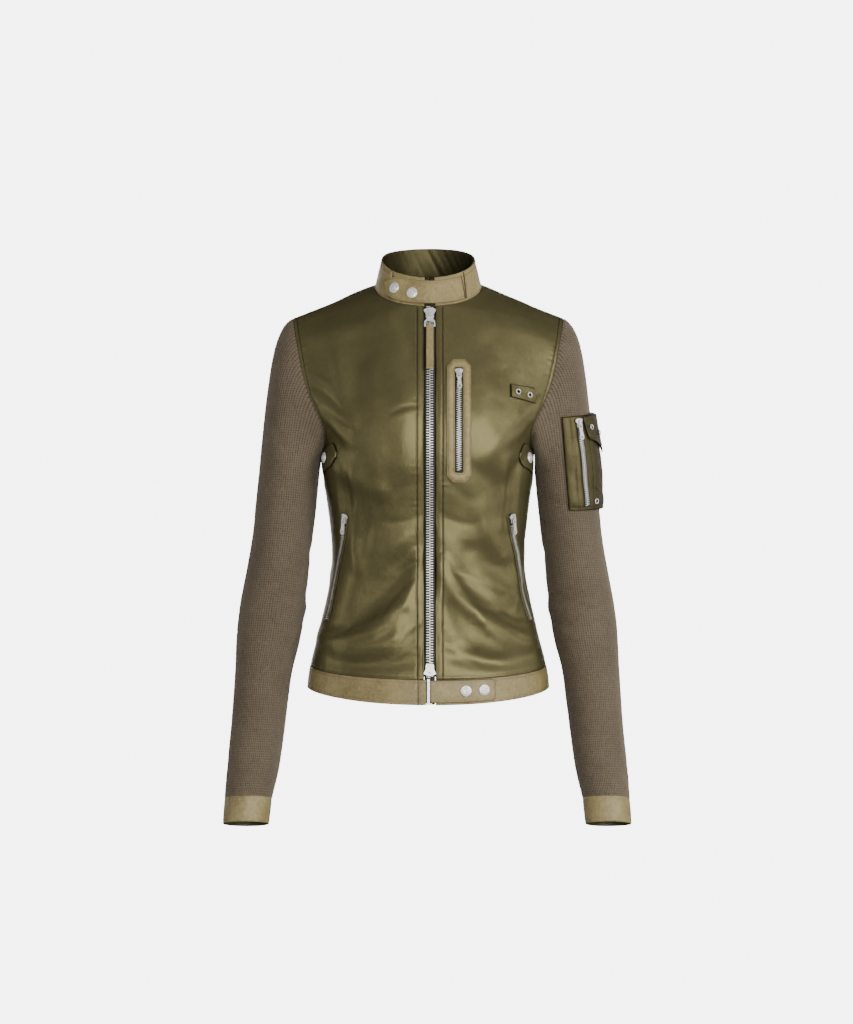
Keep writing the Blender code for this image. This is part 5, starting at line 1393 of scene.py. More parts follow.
front_u = np.sort(np.concatenate([strips(200, 3.0), [0.033, 0.037, 0.0395, 0.042, 0.046]]))
back_u = strips(220, 3.0, (0.0, 1.5, 3.0))
downs = strips(30, 1.6, (0.0, 0.8, 1.8))[::-1]
band = np.array([
    np.concatenate([
        band_points(front_u, "front_left", f), band_points(back_u[-2:0:-1], "back_left", f),
        band_points(back_u[:-1], "back_right", f), band_points(front_u[::-1], "front_right", f),
    ]) for f in downs
])
band[-1, :, 2] -= SEAM
normals = grid_normals(band)
run = run_of(band, 1)
up = run_of(band, 0)
from_top = up[-1:] - up
rise = BAND_PROUD + 0.45 * roughly(band, 36, 91) + 0.15 * roughly(band, 11, 92)
rise += 0.4 * bell(up, 14, 9) - 0.35 * bell(up, 3.2, 0.8) - 0.35 * bell(from_top, 3.0, 0.8)
rise += 0.12 * wave_along(run, 12, 93) * (bell(from_top, 3, 4) + bell(up, 3, 4))
seam_run = run[:, -1:] - run
front_x = band[..., 0]
is_front = band[..., 1] < -60
rise -= is_front * 0.8 * bell(front_x, -13.0, 0.7)
border = np.minimum(np.minimum(up, from_top), np.minimum(run, seam_run))
band = band + normals * (rise * np.clip(border / 1.0, 0.35, 1))[..., None]
shade = (
    is_front * 0.75 * bell(front_x, -13.0, 0.6)
    + 0.5 * bell(from_top, 0.0, 0.7)
    + 0.3 * bell(up, 3.2, 0.5)
)
shade = np.clip(0.12 + shade + 0.35 * bell(from_top, 3.0, 0.5), 0, 0.9)
obj = shell("hem_band_leather", band.reshape(-1, 3), quads(*band.shape[:2]), LEATHER, LEATHER_KHAKI,
            values={"dark": shade})
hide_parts("hem_band")
for field, value in ((up, 3.0), (-from_top, -3.0)):
    stitch(*line_along(band, normals, field, value), "khaki", 3.0)
hem_tree = surface(band)

xs = HEM_TAB[0] + (HEM_TAB[1] - HEM_TAB[0]) * strips(81, 2.0)
low, high = HEM_TAB_EDGES
downs = high - (high - low) * strips(29, 1.5)
dense_u = np.linspace(0, 1, 400)
places = []
for f in downs:
    line = band_points(dense_u, "front_left", f)
    row = []
    for x in xs:
        end = max(0.0, 1 - (HEM_TAB[1] - x) / 9.0)
        share = (f - low) / (high - low)
        corner = 9.0 / 29 * (1 - math.sqrt(max(0.0, 1 - end * end)))
        share = corner + share * (1 - 1.45 * corner)
        g = low + (high - low) * share
        z = np.interp(x, line[:, 0], line[:, 2]) + (f - g) * 30
        row.append(from_front(hem_tree, max(x, 10.4), z))
        row[-1][0][0] = x
    places.append(row)
near, outs = laid(places)
run = run_of(near, 1)
up = run_of(near, 0)
to_end = run[:, -1:] - run
thick = LEATHER + 0.2 * roughly(near, 24, 95) - 0.3 * bell(np.minimum(up, up[-1:] - up), 2.8, 0.7)
thick -= 0.35 * bell(to_end, 3.2, 0.8)
tab = near + outs * thick[..., None]
rim = np.minimum(np.minimum(up, up[-1:] - up), to_end)
shade = np.clip(
    0.85 * bell(rim, 0, 0.8) + 0.3 * bell(rim, 3.0, 0.5) + 0.4 * bell(to_end, 3.2, 0.6), 0, 0.9
)
obj = slab("hem_tab_leather", tab, near, LEATHER_KHAKI, values={"dark": shade})
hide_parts("hem_tab")
for r in (2, -3):
    stitch(tab[r][1:-3], outs[r][1:-3], "khaki", 3.0)
column = int(np.argmin(np.abs(to_end[8] - 3.0)))
stitch(tab[3:-3, column], outs[3:-3, column], "khaki", 3.0)
tab_tree = surface(tab)
for i, (x, f) in enumerate(HEM_SNAPS, 1):
    line = band_points(dense_u, "front_left", f)
    z = np.interp(x, line[:, 0], line[:, 2])
    snap(f"hem_snap_cap_{i}", f"hem_snap_{i}", tab_tree, (x, -FAR, z), (x, 0, z))


# ---------------------------------------------------------------- zips
def tooth(length, wide, high):
    """One zip tooth, from its root at x = 0 to its head, with rounded ends."""
    xs = (0.0, 0.25, length - 1.3, length - 0.7, length - 0.25, length)
    halves = (0.42, 0.5, 0.36, 0.5, 0.5, 0.36)
    points, faces = [], []
    for x, half in zip(xs, halves):
        w = half * wide
        points += [(x, -w, 0.0), (x, -w, high * 0.72), (x, -w * 0.55, high), (x, w * 0.55, high),
                   (x, w, high * 0.72), (x, w, 0.0)]
    for i in range(len(xs) - 1):
        for k in range(5):
            a = i * 6 + k
            faces.append((a, a + 1, a + 7, a + 6))
        faces.append((i * 6 + 5, i * 6, i * 6 + 6, i * 6 + 11))
    faces.append((5, 4, 3, 2, 1, 0))
    last = (len(xs) - 1) * 6
    faces.append(tuple(last + k for k in range(6)))
    return points, faces


def zip_fastener(name, line, sizes, pitch, tooth_from, tooth_to=None, lift=0.45):
    """A closed zip: woven tape and two rows of metal teeth along a line of (point, across, out)."""
    half_tape, half_chain, chain_height = sizes
    points, sides, outs = (np.array(column) for column in zip(*line))
    shares = np.array([-1, -0.94, -0.66, -0.64, -0.3, 0, 0.3, 0.64, 0.66, 0.94, 1])
    near = points[:, None] + sides[:, None] * (shares * half_tape)[None, :, None]
    near = near + outs[:, None] * lift
    tall = np.where(np.abs(shares) > 0.65, 0.62, 0.75)
    tape = near + outs[:, None] * tall[None, :, None]
    obj = slab(f"{name}_tape", tape, near, TAPE_DARK)
    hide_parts(name)
    lengths = run_along(points)
    end = lengths[-1] if tooth_to is None else tooth_to
    places = []
    for side in (1, -1):
        at = np.arange(tooth_from + (pitch / 2 if side > 0 else 0), end, pitch)
        for s in at:
            p, x, z = (Vector(at_run(s, lengths, values)) for values in (points, sides, outs))
            x = x.normalized() * -side
            y = z.cross(x).normalized()
            z = x.cross(y)
            places.append(place_at(p - x * half_chain + z * (lift + 0.66), x, y, z))
    shape = tooth(half_chain + 0.6, pitch * 0.42, chain_height - 0.72)
    points, faces = copies(shape, places)
    obj = add_piece(f"{name}_teeth", points, faces, NICKEL, angle=40)


line = []
for z in np.linspace(BAND_FRONT[1] + 1.0, NECK_FRONT[1] - 1.0, 200):
    y = read(CENTRE_FRONT, z)[0]
    slope = (read(CENTRE_FRONT, z + 1)[0] - read(CENTRE_FRONT, z - 1)[0]) / 2
    out = np.array([0.0, -1.0, slope]) / math.hypot(1, slope)
    line.append((np.array([ZIP_X, y, z]) - out * 0.9, np.array([1.0, 0, 0]), out))
zip_fastener("main_zip", line, MAIN_ZIP, MAIN_PITCH, 35.0, lift=0.0)


# the main pull's strip: its lower end, where its fold starts, half width and half thickness
STRIP_END, STRIP_FOLD, STRIP_HALF, STRIP_DEEP, STRIP_STEPS = -79.5, -22.0, 4.6, 1.2, 30
# where the pull hangs, and its three directions
PULL_PLACE = (2.0, -69.44, -18.69)
PULL_WAYS = ((1.0, 0, 0), (0, 0.4393, 0.8983), (0, -0.8983, 0.4393))


def strip_piece():
    """The leather strip of the main pull: two layers folded round the pull's bar, stitched."""
    origin = np.array(PULL_PLACE)
    x, y, z = np.array(PULL_WAYS)
    outline = [(v, STRIP_DEEP) for v in np.linspace(STRIP_END, STRIP_FOLD, STRIP_STEPS)]
    for a in np.linspace(0, math.pi, 9):
        deep = 2.1 if 0 < a < math.pi else 1.6
        outline.append((-19.3 + 2.35 * math.sin(a), deep * math.cos(a)))
    outline += [(v, -STRIP_DEEP) for v in np.linspace(STRIP_FOLD, STRIP_END, STRIP_STEPS)]
    half = STRIP_HALF
    xs = np.array([-half, -half + 0.45, -half + 1.2, -2, 0, 2, half - 1.2, half - 0.45, half])
    squeeze = np.array([0.45, 0.85, 1, 1, 1, 1, 1, 0.85, 0.45])
    rng = np.random.default_rng(5)
    grid = []
    for v, h in outline:
        end = 0.55 if abs(v - STRIP_END) < 0.1 else 1.0
        wave = 0.10 * math.sin(v * 0.31 + rng.uniform(-0.1, 0.1))
        groove = np.where(np.abs(np.abs(xs) - (half - 1.2)) < 0.1, 0.86, 1.0)
        bend, narrow = wave * (abs(h) > 1), 0.97 if end < 1 else 1
        grid.append([
            origin + x * a * narrow + y * v + z * (h * s * end * g + bend)
            for a, s, g in zip(xs, squeeze, groove)
        ])
    grid = np.array(grid)
    rows, columns = grid.shape[:2]
    faces = quads(rows, columns)
    last = (rows - 1) * columns
    faces += [[last + c, last + c + 1, c + 1, c] for c in range(columns - 1)]
    for c in (0, columns - 1):
        for r in range(rows // 2):
            a, b = r * columns + c, (r + 1) * columns + c
            d, e = (rows - 1 - r) * columns + c, (rows - 2 - r) * columns + c
            face = [a, b, e, d] if c == 0 else [d, e, b, a]
            face = list(dict.fromkeys(face))
            if len(face) > 2:
                faces.append(face)
    obj = add_piece("main_pull_leather", grid.reshape(-1, 3), [f[::-1] for f in faces],
                    LEATHER_KHAKI,
                    body="main_pull_body")
    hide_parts("main_pull_strip")
    for c in (2, 6):
        stitch(grid[:STRIP_STEPS, c], np.tile(z, (STRIP_STEPS, 1)), "khaki", 2.6, group="pull")


strip_piece()

# ---------------------------------------------------------------- chest pocket
front_tree = surface(FRONTS["left"])


def loop_points(w, high, low, dx, dz, count):
    """An even outline with cut corners."""
    corners = [(w, low + dz), (w, high - dz), (w - dx, high), (-w + dx, high), (-w, high - dz),
               (-w, low + dz),
               (-w + dx, low), (w - dx, low)]
    points = []
    for (x0, z0), (x1, z1), n in zip(corners, corners[1:] + corners[:1], count):
        points += [(x0 + (x1 - x0) * i / n, z0 + (z1 - z0) * i / n) for i in range(n)]
    return np.array(points)


half, top, bottom, cut_x, cut_z = CHEST_OUTER
slit, slit_top, slit_bottom = CHEST_OPENING
count = (60, 4, 6, 4, 60, 4, 6, 4)
outer_loop = loop_points(half, top, bottom, cut_x, cut_z, count)
inner_loop = loop_points(slit, slit_top, slit_bottom, 1.2, 1.2, count)
shares = np.array([0, 0.05, 0.13, 0.19, 0.25, 0.45, 0.65, 0.75, 0.81, 0.87, 0.95, 1])
places = []
for share in shares:
    ring = inner_loop * (1 - share) + outer_loop * share
    places.append([from_front(front_tree, CHEST_MIDDLE_X + x, z) for x, z in ring])
near, outs = laid(places)
thick = SURROUND + 0.3 + 0.18 * roughly(near, 18, 101)
outer_groove, inner_groove = np.abs(shares - 0.84) < 0.04, np.abs(shares - 0.16) < 0.04
thick = thick - 0.5 * outer_groove[:, None] - 0.45 * inner_groove[:, None]
thick = thick + 0.25 * (np.abs(shares - 0.5) < 0.2)[:, None]
plate = near + outs * thick[..., None]
shade = 0.9 * (shares < 0.03) + 0.9 * (shares > 0.97) + 0.35 * (np.abs(shares - 0.95) < 0.01)
shade = shade + 0.45 * outer_groove + 0.4 * inner_groove
obj = slab("chest_surround_leather", plate, near, LEATHER_KHAKI, closed=True,
           values={"dark": np.tile(shade[:, None], (1, plate.shape[1]))})
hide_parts("chest_surround")
for r in (2, 9):
    ring = np.concatenate([plate[r], plate[r][:1]])
    stitch(ring, np.concatenate([outs[r], outs[r][:1]]), "khaki", 2.8)

heights = np.linspace(slit_bottom + 0.4, slit_top - 0.4, 70)
line = [from_front(front_tree, CHEST_MIDDLE_X, z) for z in heights]


def even_line(line):
    """A line of (point, out), evened out, as one of (point, across, out)."""
    points, outs = (np.array(column) for column in zip(*line))
    for _ in range(12):
        points[1:-1] = (points[:-2] + points[2:] + 2 * points[1:-1]) / 4
        outs[1:-1] = (outs[:-2] + outs[2:] + 2 * outs[1:-1]) / 4
    outs /= np.linalg.norm(outs, axis=1, keepdims=True)
    along = np.gradient(points, axis=0)
    sides = np.cross(along, outs)
    sides /= np.linalg.norm(sides, axis=1, keepdims=True)
    return list(zip(points, sides, outs))


line = even_line(line)
zip_fastener("chest_zip", line, POCKET_ZIP, POCKET_PITCH, 3.0, 116)

# ---------------------------------------------------------------- tabs with eyelets and snaps
a, b, c, d = (np.array(p) for p in EYELET_TAB)
rows_at, columns_at = strips(18, 1.4, (0.0, 0.7, 1.5)), strips(32, 1.6, (0.0, 0.7, 1.5))
places = []
for f in rows_at:
    row = [(b + (c - b) * g) * (1 - f) + (a + (d - a) * g) * f for g in columns_at]
    places.append([from_front(front_tree, x, z) for x, z in row])
near, outs = laid(places)
side_run = np.minimum(rows_at, 1 - rows_at)[:, None] * 18 + 0 * columns_at[None, :]
thick = TAB + 0.35 - 0.35 * bell(side_run, 2.2, 0.6) + 0.3 * roughly(near, 9, 111)
lifted = 0.9 * (1 - columns_at) ** 2
near = near + outs * (0.6 * lifted)[None, :, None]
tab = near + outs * thick[..., None]
shade = np.clip(0.9 * bell(side_run, 0, 0.8) + 0.5 * bell(side_run, 2.2, 0.5), 0, 0.9)
shade[:, :2] = 0.85
obj = slab("eyelet_tab_satin", tab, near, SATIN_OLIVE, values={"seam": shade})
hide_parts("eyelet_tab")
for r in (2, -3):
    stitch(tab[r], outs[r], "olive", 2.8)
for column in (2, -3):
    stitch(tab[:, column], outs[:, column], "olive", 2.8)
eyelet_tree = surface(tab)


def ring_shape(big, small, around=36, section=12):
    """A round ring."""
    points, faces = [], []
    for i in range(around):
        a = 2 * math.pi * i / around
        for k in range(section):
            b = 2 * math.pi * k / section
            r = big + small * math.cos(b)
            points.append((r * math.cos(a), r * math.sin(a), small * math.sin(b)))
    for i in range(around):
        for k in range(section):
            m, n = (i + 1) % around, (k + 1) % section
            faces.append((i * section + k, m * section + k, m * section + n, i * section + n))
    return points, faces


def eyelet(name, node, point, normal):
    """A metal eyelet, with a dark disc of painted shade in its hole."""
    place = stand(point, normal, (0, 0, 1), LIFT + EYELET[1])
    points, faces = copies(ring_shape(*EYELET), [place])
    obj = add_piece(name, points, faces, NICKEL)
    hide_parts(node)
    # painted shade: a very dark disc put inside the eyelet, where the hole is in shade
    disc = lathe([(0.0, -0.35), (1.2, -0.33), (2.5, -0.2), (2.6, -0.7), (0.0, -0.75)], 30)
    points, faces = copies(disc, [place])
    hole_shade_disc = add_piece(f"{name}_hole", points, faces, PAINTED_HOLE_SHADE)


for i, (x, z) in enumerate(TAB_EYELETS, 1):
    eyelet(
        f"tab_eyelet_ring_{i}", f"tab_eyelet_{i}",
        *seat(eyelet_tree, (x, -FAR, z), (x, 0, z), sum(EYELET))
    )

# ---------------------------------------------------------------- side zips and adjuster tabs
body_tree = surface(FRONTS["left"], FRONTS["right"], *BACKS)


def round_body(angle, z, sign):
    """A place on the body at an angle from the front and a height."""
    a = math.radians(angle)
    return meet(body_tree, (sign * FAR * math.sin(a), -FAR * math.cos(a), z), (0, 0, z))


for side, sign in (("right", -1), ("left", 1)):
    heights = np.linspace(SIDE_ZIP[0][0], SIDE_ZIP[-1][0], 80)
    line = even_line([round_body(float(read(SIDE_ZIP, z)[0]), z, sign) for z in heights])
    zip_fastener(f"side_zip_{side}", line, POCKET_ZIP, POCKET_PITCH, 2.0, 132)
    welt_points, sides, outs = (np.array(column) for column in zip(*line))
    lengths = run_along(welt_points)
    for which in (1, -1):
        shares = np.array([0.0, 0.08, 0.25, 0.5, 0.75, 0.92, 1.0])
        inner = np.where(which * sign > 0, 3.4, 3.2)
        wide = 3.4 + 0.3 * wave_along(lengths, 11, 121 + which)
        near = (
            welt_points[:, None]
            + sides[:, None] * which * (inner + shares[None, :, None] * wide[:, None, None])
        )
        near = near + outs[:, None] * 0.45
        for r in range(len(near)):
            for k in range(len(shares)):
                point, _, _, _ = body_tree.find_nearest(Vector(near[r, k]))
                clear = (np.array(point) - near[r, k]) @ outs[r]
                near[r, k] += outs[r] * max(0.0, clear + 0.12 + 0.25 * (1 - shares[k]))
        arch = 0.7 * np.sin(np.pi * np.clip(shares * 0.72 + 0.22, 0, 1)) + 0.2
        wave = 0.12 * wave_along(lengths, 8.5, 131 + which)
        ripple = wave[:, None] * np.sin(np.pi * shares)[None, :]
        welt = near + outs[:, None] * (arch[None, :] + ripple)[..., None]
        welt, near = (welt, near) if which > 0 else (welt[:, ::-1], near[:, ::-1])
        name = f"side_welt_{side}_{'outer' if which * sign > 0 else 'inner'}"
        shade = np.tile(
            np.array([0.5, 0.1, 0, 0, 0, 0.1, 0.35])[::1 if which > 0 else -1], (len(welt), 1)
        )
        obj = slab(name, welt, near, SATIN_OLIVE, values={"seam": shade})
        stitch(welt[2:-2, -3 if which > 0 else 2], outs[2:-2], "olive", 3.0)

    tab_ends = (SIDE_TAB[0][0], SIDE_TAB[-1][0])
    tab_angles = np.interp(strips(44, 1.5, (0.0, 0.7, 1.5)), (0, 1), tab_ends)
    low_edge, high_edge = read(SIDE_TAB, tab_angles).T
    ups = strips(28, 1.5, (0.0, 0.7, 1.5))
    places = []
    for f in ups:
        row = [round_body(angle, low + (high - low) * f, sign)
               for angle, low, high in zip(tab_angles, low_edge, high_edge)]
        places.append(row[::sign])
    near, outs = laid(places)
    edge_off = np.minimum(ups, 1 - ups)[:, None] * (high_edge - low_edge)[::sign][None, :]
    thick = TAB + 0.25 - 0.35 * bell(edge_off, 2.4, 0.7) + 0.2 * roughly(near, 9, 141)
    tab = near + outs * thick[..., None]
    # painted shade along the tab's rims
    obj = slab(
        f"side_tab_{side}_satin", tab, near, SATIN_OLIVE,
        values={"seam": 0.85 * bell(edge_off, 0, 1.0)}
    )
    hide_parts(f"side_tab_{side}")
    for r in (3, -4):
        stitch(tab[r][1:-1], outs[r][1:-1], "olive", 2.8)
    point, normal = round_body(*SIDE_SNAP, sign)
    snap(f"side_snap_cap_{side}", f"side_snap_{side}", surface(tab), point + normal * 20, point)


# ---------------------------------------------------------------- sleeve pocket
sleeve_grid = SLEEVES["left"][::2, ::2]
sleeve_tree = surface(np.concatenate([sleeve_grid, sleeve_grid[:, :1]], axis=1))


def pocket_place(s, t):
    """A place on the left sleeve: s from the pocket's front edge to its back one, t up it."""
    angle = math.radians(POCKET_ANGLES[0] + (POCKET_ANGLES[1] - POCKET_ANGLES[0]) * s)
    low, high = POCKET_HEIGHTS
    z = low + (high - low) * t + POCKET_RISE * t * math.sin(math.pi * min(s, 1.0) * 0.6)
    x, y = read(ARM_AXIS, z)
    far = (x + 200 * math.cos(angle), y - 200 * math.sin(angle), z)
    return meet(sleeve_tree, far, (x, y, z))


def pocket_height(s, t):
    """How far the pocket stands out from the sleeve."""
    edge, middle = POCKET_WALL
    swell = math.sin(math.pi * min(max(s, 0), 1)) ** 0.6 * (
        0.45 + 0.55 * math.sin(math.pi * min(max(t, 0), 1))
    )
    return edge + middle * swell


ss, ts = (strips(size, 2.0, (0.0, 0.8, 1.8)) for size in (POCKET_WIDE, POCKET_TALL))
near, outs = laid([[pocket_place(s, t) for s in ss] for t in ts], 0.9)
rise = np.array([[pocket_height(s, t) for s in ss] for t in ts]) - 0.3
run, up = run_of(near, 1), run_of(near, 0)
zip_s = POCKET_ZIP_AT[0][0] + (POCKET_ZIP_AT[1][0] - POCKET_ZIP_AT[0][0]) * ts[:, None]
off = (ss[None, :] - zip_s) * POCKET_WIDE
fade = np.clip(
    np.minimum(np.minimum(run, run[:, -1:] - run), np.minimum(up, up[-1:] - up)) / 3, 0, 1
)
detail = -0.7 * bell(off, 12.5, 0.8) + 0.5 * wave_along(up, 8.0, 151) * bell(off, 15, 5)
detail += -0.5 * bell(off, -9.5, 0.7) + 0.25 * wave_along(up, 9.0, 152) * bell(off, -10, 3)
detail += -0.45 * bell(up, 4.0, 0.7) + 0.55 * roughly(near, 20, 153) + 0.2 * roughly(near, 8, 154)
pocket_x, pocket_z = ss[None, :] * POCKET_WIDE, ts[:, None] * POCKET_TALL
detail += 0.6 * fold_height(pocket_x + 0 * up, pocket_z + 0 * run, (
    (44, 96, 64, 78, 92, 66, 6, -1.1), (40, 60, 60, 46, 96, 42, 6, 1.0),
    (36, 30, 64, 22, 100, 30, 6, -1.0),
    (50, 112, 60, 98, 66, 84, 5, 0.9), (86, 90, 100, 60, 104, 24, 5, -0.9),
    (40, 14, 70, 10, 100, 14, 5, 0.8),
))
pocket = near + outs * (rise + detail * fade)[..., None]
side_off = np.minimum(np.minimum(run, run[:, -1:] - run), np.minimum(up, up[-1:] - up))
shade = (
    0.85 * bell(off, 12.5, 0.9)
    + 0.7 * bell(off, -9.5, 0.8)
    + 0.5 * bell(up, 4.0, 0.6)
    + 0.8 * bell(side_off, 0, 1)
)
shade += 0.8 * bell((pocket_x - 44) * 0.5 + (pocket_z - 24) * 0.85, 0, 0.8) * (
    (off > 12) * (ts[:, None] < 0.26))
obj = slab(
    "sleeve_pocket_satin", pocket, near, SATIN_POCKET, values={"seam": np.clip(shade, 0, 0.9)}
)
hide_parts("sleeve_pocket")
pocket_normals = grid_normals(pocket)
if (pocket_normals[30, 30] * outs[30, 30]).sum() < 0:
    pocket_normals = -pocket_normals
for value in (-11.6, -7.2, 11.2, 14.0):
    stitch(*line_across(pocket, pocket_normals, off, value, range(3, len(ts) - 3)), pitch=3.0)
stitch(pocket[3, 3:-3], pocket_normals[3, 3:-3], "olive", 3.0)
for c in (3, -4):
    stitch(pocket[3:-3, c], pocket_normals[3:-3, c], "olive", 3.0)
pocket_tree = surface(pocket)


def over(s, t):
    """A place on the pocket's outer side, or just past its edge at the edge's own height."""
    point, normal = pocket_place(s, t)
    if 0.01 < s < 0.99 and 0.01 < t < 0.99:
        return meet(pocket_tree, point + normal * 30, point)[0], normal
    a, b = min(max(s, 0.015), 0.985), min(max(t, 0.015), 0.985)
    start, out = pocket_place(a, b)
    edge, _ = meet(pocket_tree, start + out * 30, start)
    return edge + point - start, normal


(s0, t0), (s1, t1) = POCKET_ZIP_AT
line = []
for f in np.linspace(0, 1, 60):
    s, t = s0 + (s1 - s0) * f, t0 + (t1 - t0) * f
    side = over(s + 0.04, t)[0] - over(s - 0.04, t)[0]
    climb = over(s, min(t + 0.03, 0.99))[0] - over(s, max(t - 0.03, 0.01))[0]
    out = np.cross(side, climb)
    line.append((over(s, t)[0], out / np.linalg.norm(out)))
line = even_line(line)
zip_fastener("sleeve_zip", line, POCKET_ZIP, POCKET_PITCH, 2.0, 108, lift=0.5)

table = np.array(FLAP)
flap_s = np.interp(strips(84, 1.7, (0.0, 0.8, 1.7)), (0, 1), (FLAP[0][0], FLAP[-1][0]))
flap_low = np.interp(flap_s, table[:, 0], table[:, 1])
flap_t = strips(40, 1.7, (0.0, 0.8, 1.7))
places = []
for f in flap_t:
    places.append([over(s, low + (FLAP_TOP - low) * f) for s, low in zip(flap_s, flap_low)])
near, outs = laid(places, 0.7)
near_up = run_of(near, 0)
for _ in range(2):
    near[1:-1, 1:-1] = (
        near[:-2, 1:-1] + near[2:, 1:-1] + near[1:-1, :-2] + near[1:-1, 2:] + 4 * near[1:-1, 1:-1]
    ) / 8
lack = np.zeros(near.shape[:2])
for r in range(near.shape[0]):
    for c in range(near.shape[1]):
        point, _, _, _ = pocket_tree.find_nearest(Vector(near[r, c]))
        lack[r, c] = max(0.0, 0.45 - (near[r, c] - np.array(point)) @ outs[r, c])
near = near + outs * lack[..., None]
edge_off = np.minimum(near_up, 99)
lift_low = 1.1 * np.exp(-near_up / 9)
near = near + outs * lift_low[..., None]
thick = TAB + 0.2 - 0.35 * bell(edge_off, 2.6, 0.7) + 0.25 * roughly(near, 11, 161)
flap = near + outs * thick[..., None]
# painted shade along the flap's rim and its stitch groove
obj = slab("sleeve_flap_satin", flap, near, SATIN_POCKET, values={"seam": np.clip(
    0.9 * bell(edge_off, 0, 0.9) + 0.5 * bell(edge_off, 2.6, 0.5), 0, 0.9)})
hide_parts("sleeve_flap")
for r in (2, 5):
    stitch(flap[r], outs[r], "olive", 2.8)
for c in (2, -3):
    stitch(flap[2:-2, c], outs[2:-2, c], "olive", 2.8)
flap_tree = surface(flap)
for i, (s, t) in enumerate(FLAP_EYELETS, 1):
    point, normal = over(s, t)
    eyelet(
        f"sleeve_eyelet_ring_{i}", f"sleeve_eyelet_{i}",
        *seat(flap_tree, point + normal * 30, point, sum(EYELET))
    )
point, normal = over(*POCKET_EYELET)
eyelet(
    "sleeve_eyelet_ring_3", "sleeve_eyelet_3",
    *seat(pocket_tree, point + normal * 30, point, sum(EYELET))
)

# ---------------------------------------------------------------- metal parts kept from the part
SOFT_EDGE = 0.35
METAL_NODES = (
    "main_slider_top", "main_slider_bottom", "main_pull", "main_pin", "chest_slider", "chest_pull",
    "side_slider_right", "side_slider_left", "side_pull_right", "side_pull_left", "sleeve_slider",
    "sleeve_pull",
)
for name in METAL_NODES:
    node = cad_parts[name]
    node.data.materials.clear()
    node.data.materials.append(NICKEL)
    for slot in node.material_slots:
        slot.link = "OBJECT"
        slot.material = NICKEL
    bevel = node.modifiers.new("soft_edges", "BEVEL")
    bevel.width = SOFT_EDGE * MM
    bevel.segments = 3
    bevel.limit_method = "ANGLE"
    bevel.angle_limit = math.radians(35)
    bevel.harden_normals = False

# bar tacks at the ends of the armhole seams in front
for side, sign in (("right", -1), ("left", 1)):
    tree = front_tree if side == "left" else surface(FRONTS["right"])
    for k in range(5):
        x = sign * (149.0 - 0.4 * k)
        z = -122.0 - 0.55 * k
        point, normal = from_front(tree, x, z)
        ends = [from_front(tree, x + d, z)[0] for d in (-2.6, 2.6)]
        stitch(np.array([ends[0], point, ends[1]]), np.array([normal] * 3), "olive", 2.4)


# ---------------------------------------------------------------- stitches
for key, places in STITCHES.items():
    points, faces = copies(thread_shape(), places)
    thread = THREADS["olive" if key == "olive" else "khaki"]
    obj = add_piece(
        f"stitches_{key}", points, faces, thread,
        body="main_pull_body" if key == "pull" else "jacket"
    )


# ---------------------------------------------------------------- stage and light
def stage_material(name, glow):
    """A plain pale ground, which looks the same from every side."""
    material, tree, bsdf, place = shader(name, 1.0, Specular_IOR_Level=0.0)
    grain = noise_node(tree, place, 3.0, 2)
    greys = [(0.0, (0.020, 0.020, 0.020)), (1.0, (0.024, 0.024, 0.024))]
    tree.links.new(ramp_node(tree, grain, greys), bsdf.inputs["Base Color"])
    bsdf.inputs["Emission Color"].default_value = (1, 1, 1, 1)
    bsdf.inputs["Emission Strength"].default_value = glow
    return material


# the bowl's floor: height, radius of its flat, radius of its curve, height of its wall (m)
FLOOR_Z, FLOOR_FLAT, FLOOR_CURVE, WALL_TOP = -1.35, 4.5, 1.5, 6.0


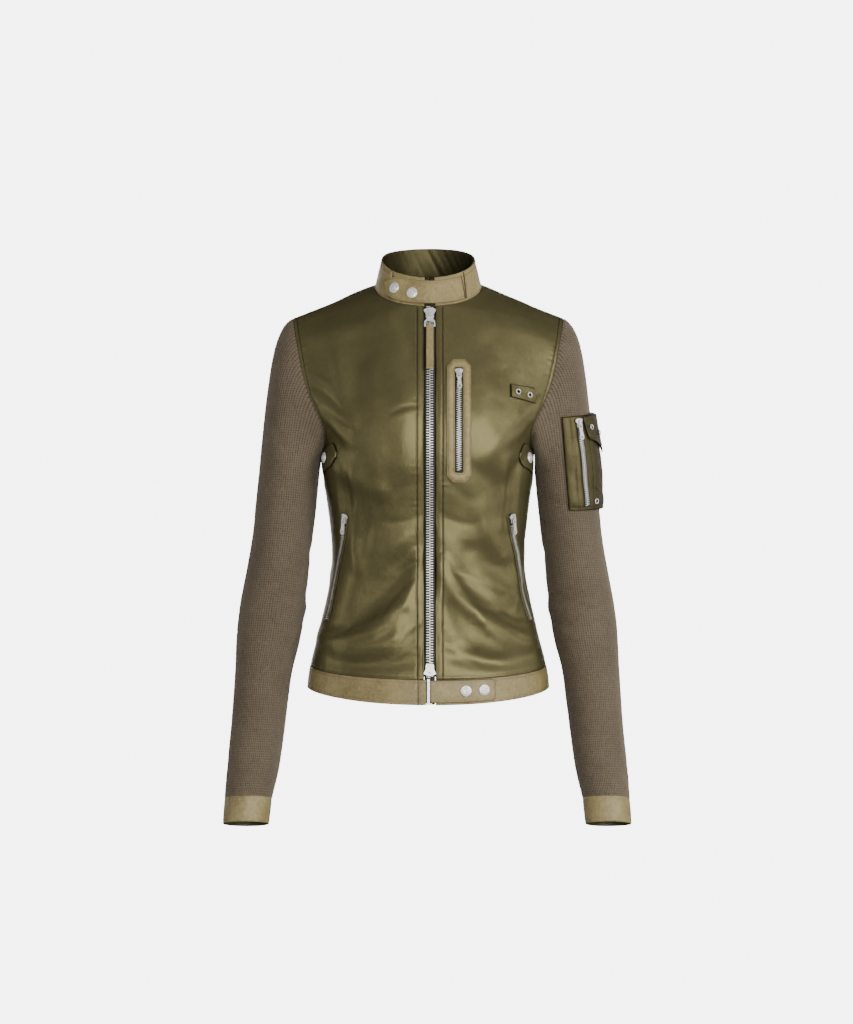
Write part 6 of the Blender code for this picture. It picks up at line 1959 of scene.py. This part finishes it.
def sweep():
    """Floor and backdrop in one bowl all round, which lights nothing by itself."""
    profile = [(0.0, FLOOR_Z), (FLOOR_FLAT, FLOOR_Z)]
    for a in np.linspace(0, math.pi / 2, 16):
        out, up = FLOOR_CURVE * math.sin(a), FLOOR_CURVE * (1 - math.cos(a))
        profile.append((FLOOR_FLAT + out, FLOOR_Z + up))
    profile.append((FLOOR_FLAT + FLOOR_CURVE, WALL_TOP))
    points, faces = lathe(profile, 96)
    mesh = bpy.data.meshes.new("floor")
    mesh.from_pydata(points, [], faces)
    mesh.shade_smooth()
    mesh.materials.append(stage_material("pale_floor", 6.0))
    obj = bpy.data.objects.new("floor", mesh)
    bpy.context.scene.collection.objects.link(obj)
    obj.visible_diffuse = False
    obj.visible_glossy = False
    obj.visible_shadow = False


def softbox(name, place, size, power):
    """A large soft light, aimed at the middle of the jacket."""
    data = bpy.data.lights.new(name, "AREA")
    data.shape = "RECTANGLE"
    data.size, data.size_y = size
    data.energy = power
    obj = bpy.data.objects.new(name, data)
    obj.location = place
    obj.rotation_euler = (Vector(AIM) - Vector(place)).to_track_quat("-Z", "Y").to_euler()
    obj.visible_camera = False
    bpy.context.scene.collection.objects.link(obj)


AIM = (0, 0, -0.3)
# name, place and size (m), power (W)
SOFTBOXES = (
    ("front", (0.55, -4.2, 0.0), (1.3, 0.8), 34),
    ("front_wide", (0.5, -4.4, -0.1), (2.5, 1.6), 52),
    ("front_far", (0.4, -4.8, -0.1), (4.0, 2.8), 48),
    ("key", (2.1, -2.5, 0.2), (0.9, 1.7), 72),
    ("fill", (-2.1, -2.5, 0.1), (0.9, 1.7), 8),
    ("top", (0.3, -0.9, 2.6), (1.4, 1.2), 7),
    ("side_right", (3.0, -0.2, -0.2), (0.9, 1.7), 20),
    ("side_left", (-3.0, -0.2, -0.2), (0.9, 1.7), 12),
    ("back", (-0.4, 4.4, 0.0), (3.6, 2.6), 80),
    ("back_right", (2.1, 2.5, 0.1), (0.9, 1.7), 14),
    ("back_left", (-2.1, 2.5, 0.1), (0.9, 1.7), 14),
)
sweep()
for name, place, size, power in SOFTBOXES:
    softbox(name, place, size, power)
world = bpy.data.worlds.new("studio")
world.use_nodes = True
world.node_tree.nodes["Background"].inputs["Color"].default_value = (0.62, 0.62, 0.62, 1)
world.node_tree.nodes["Background"].inputs["Strength"].default_value = 0.22
bpy.context.scene.world = world
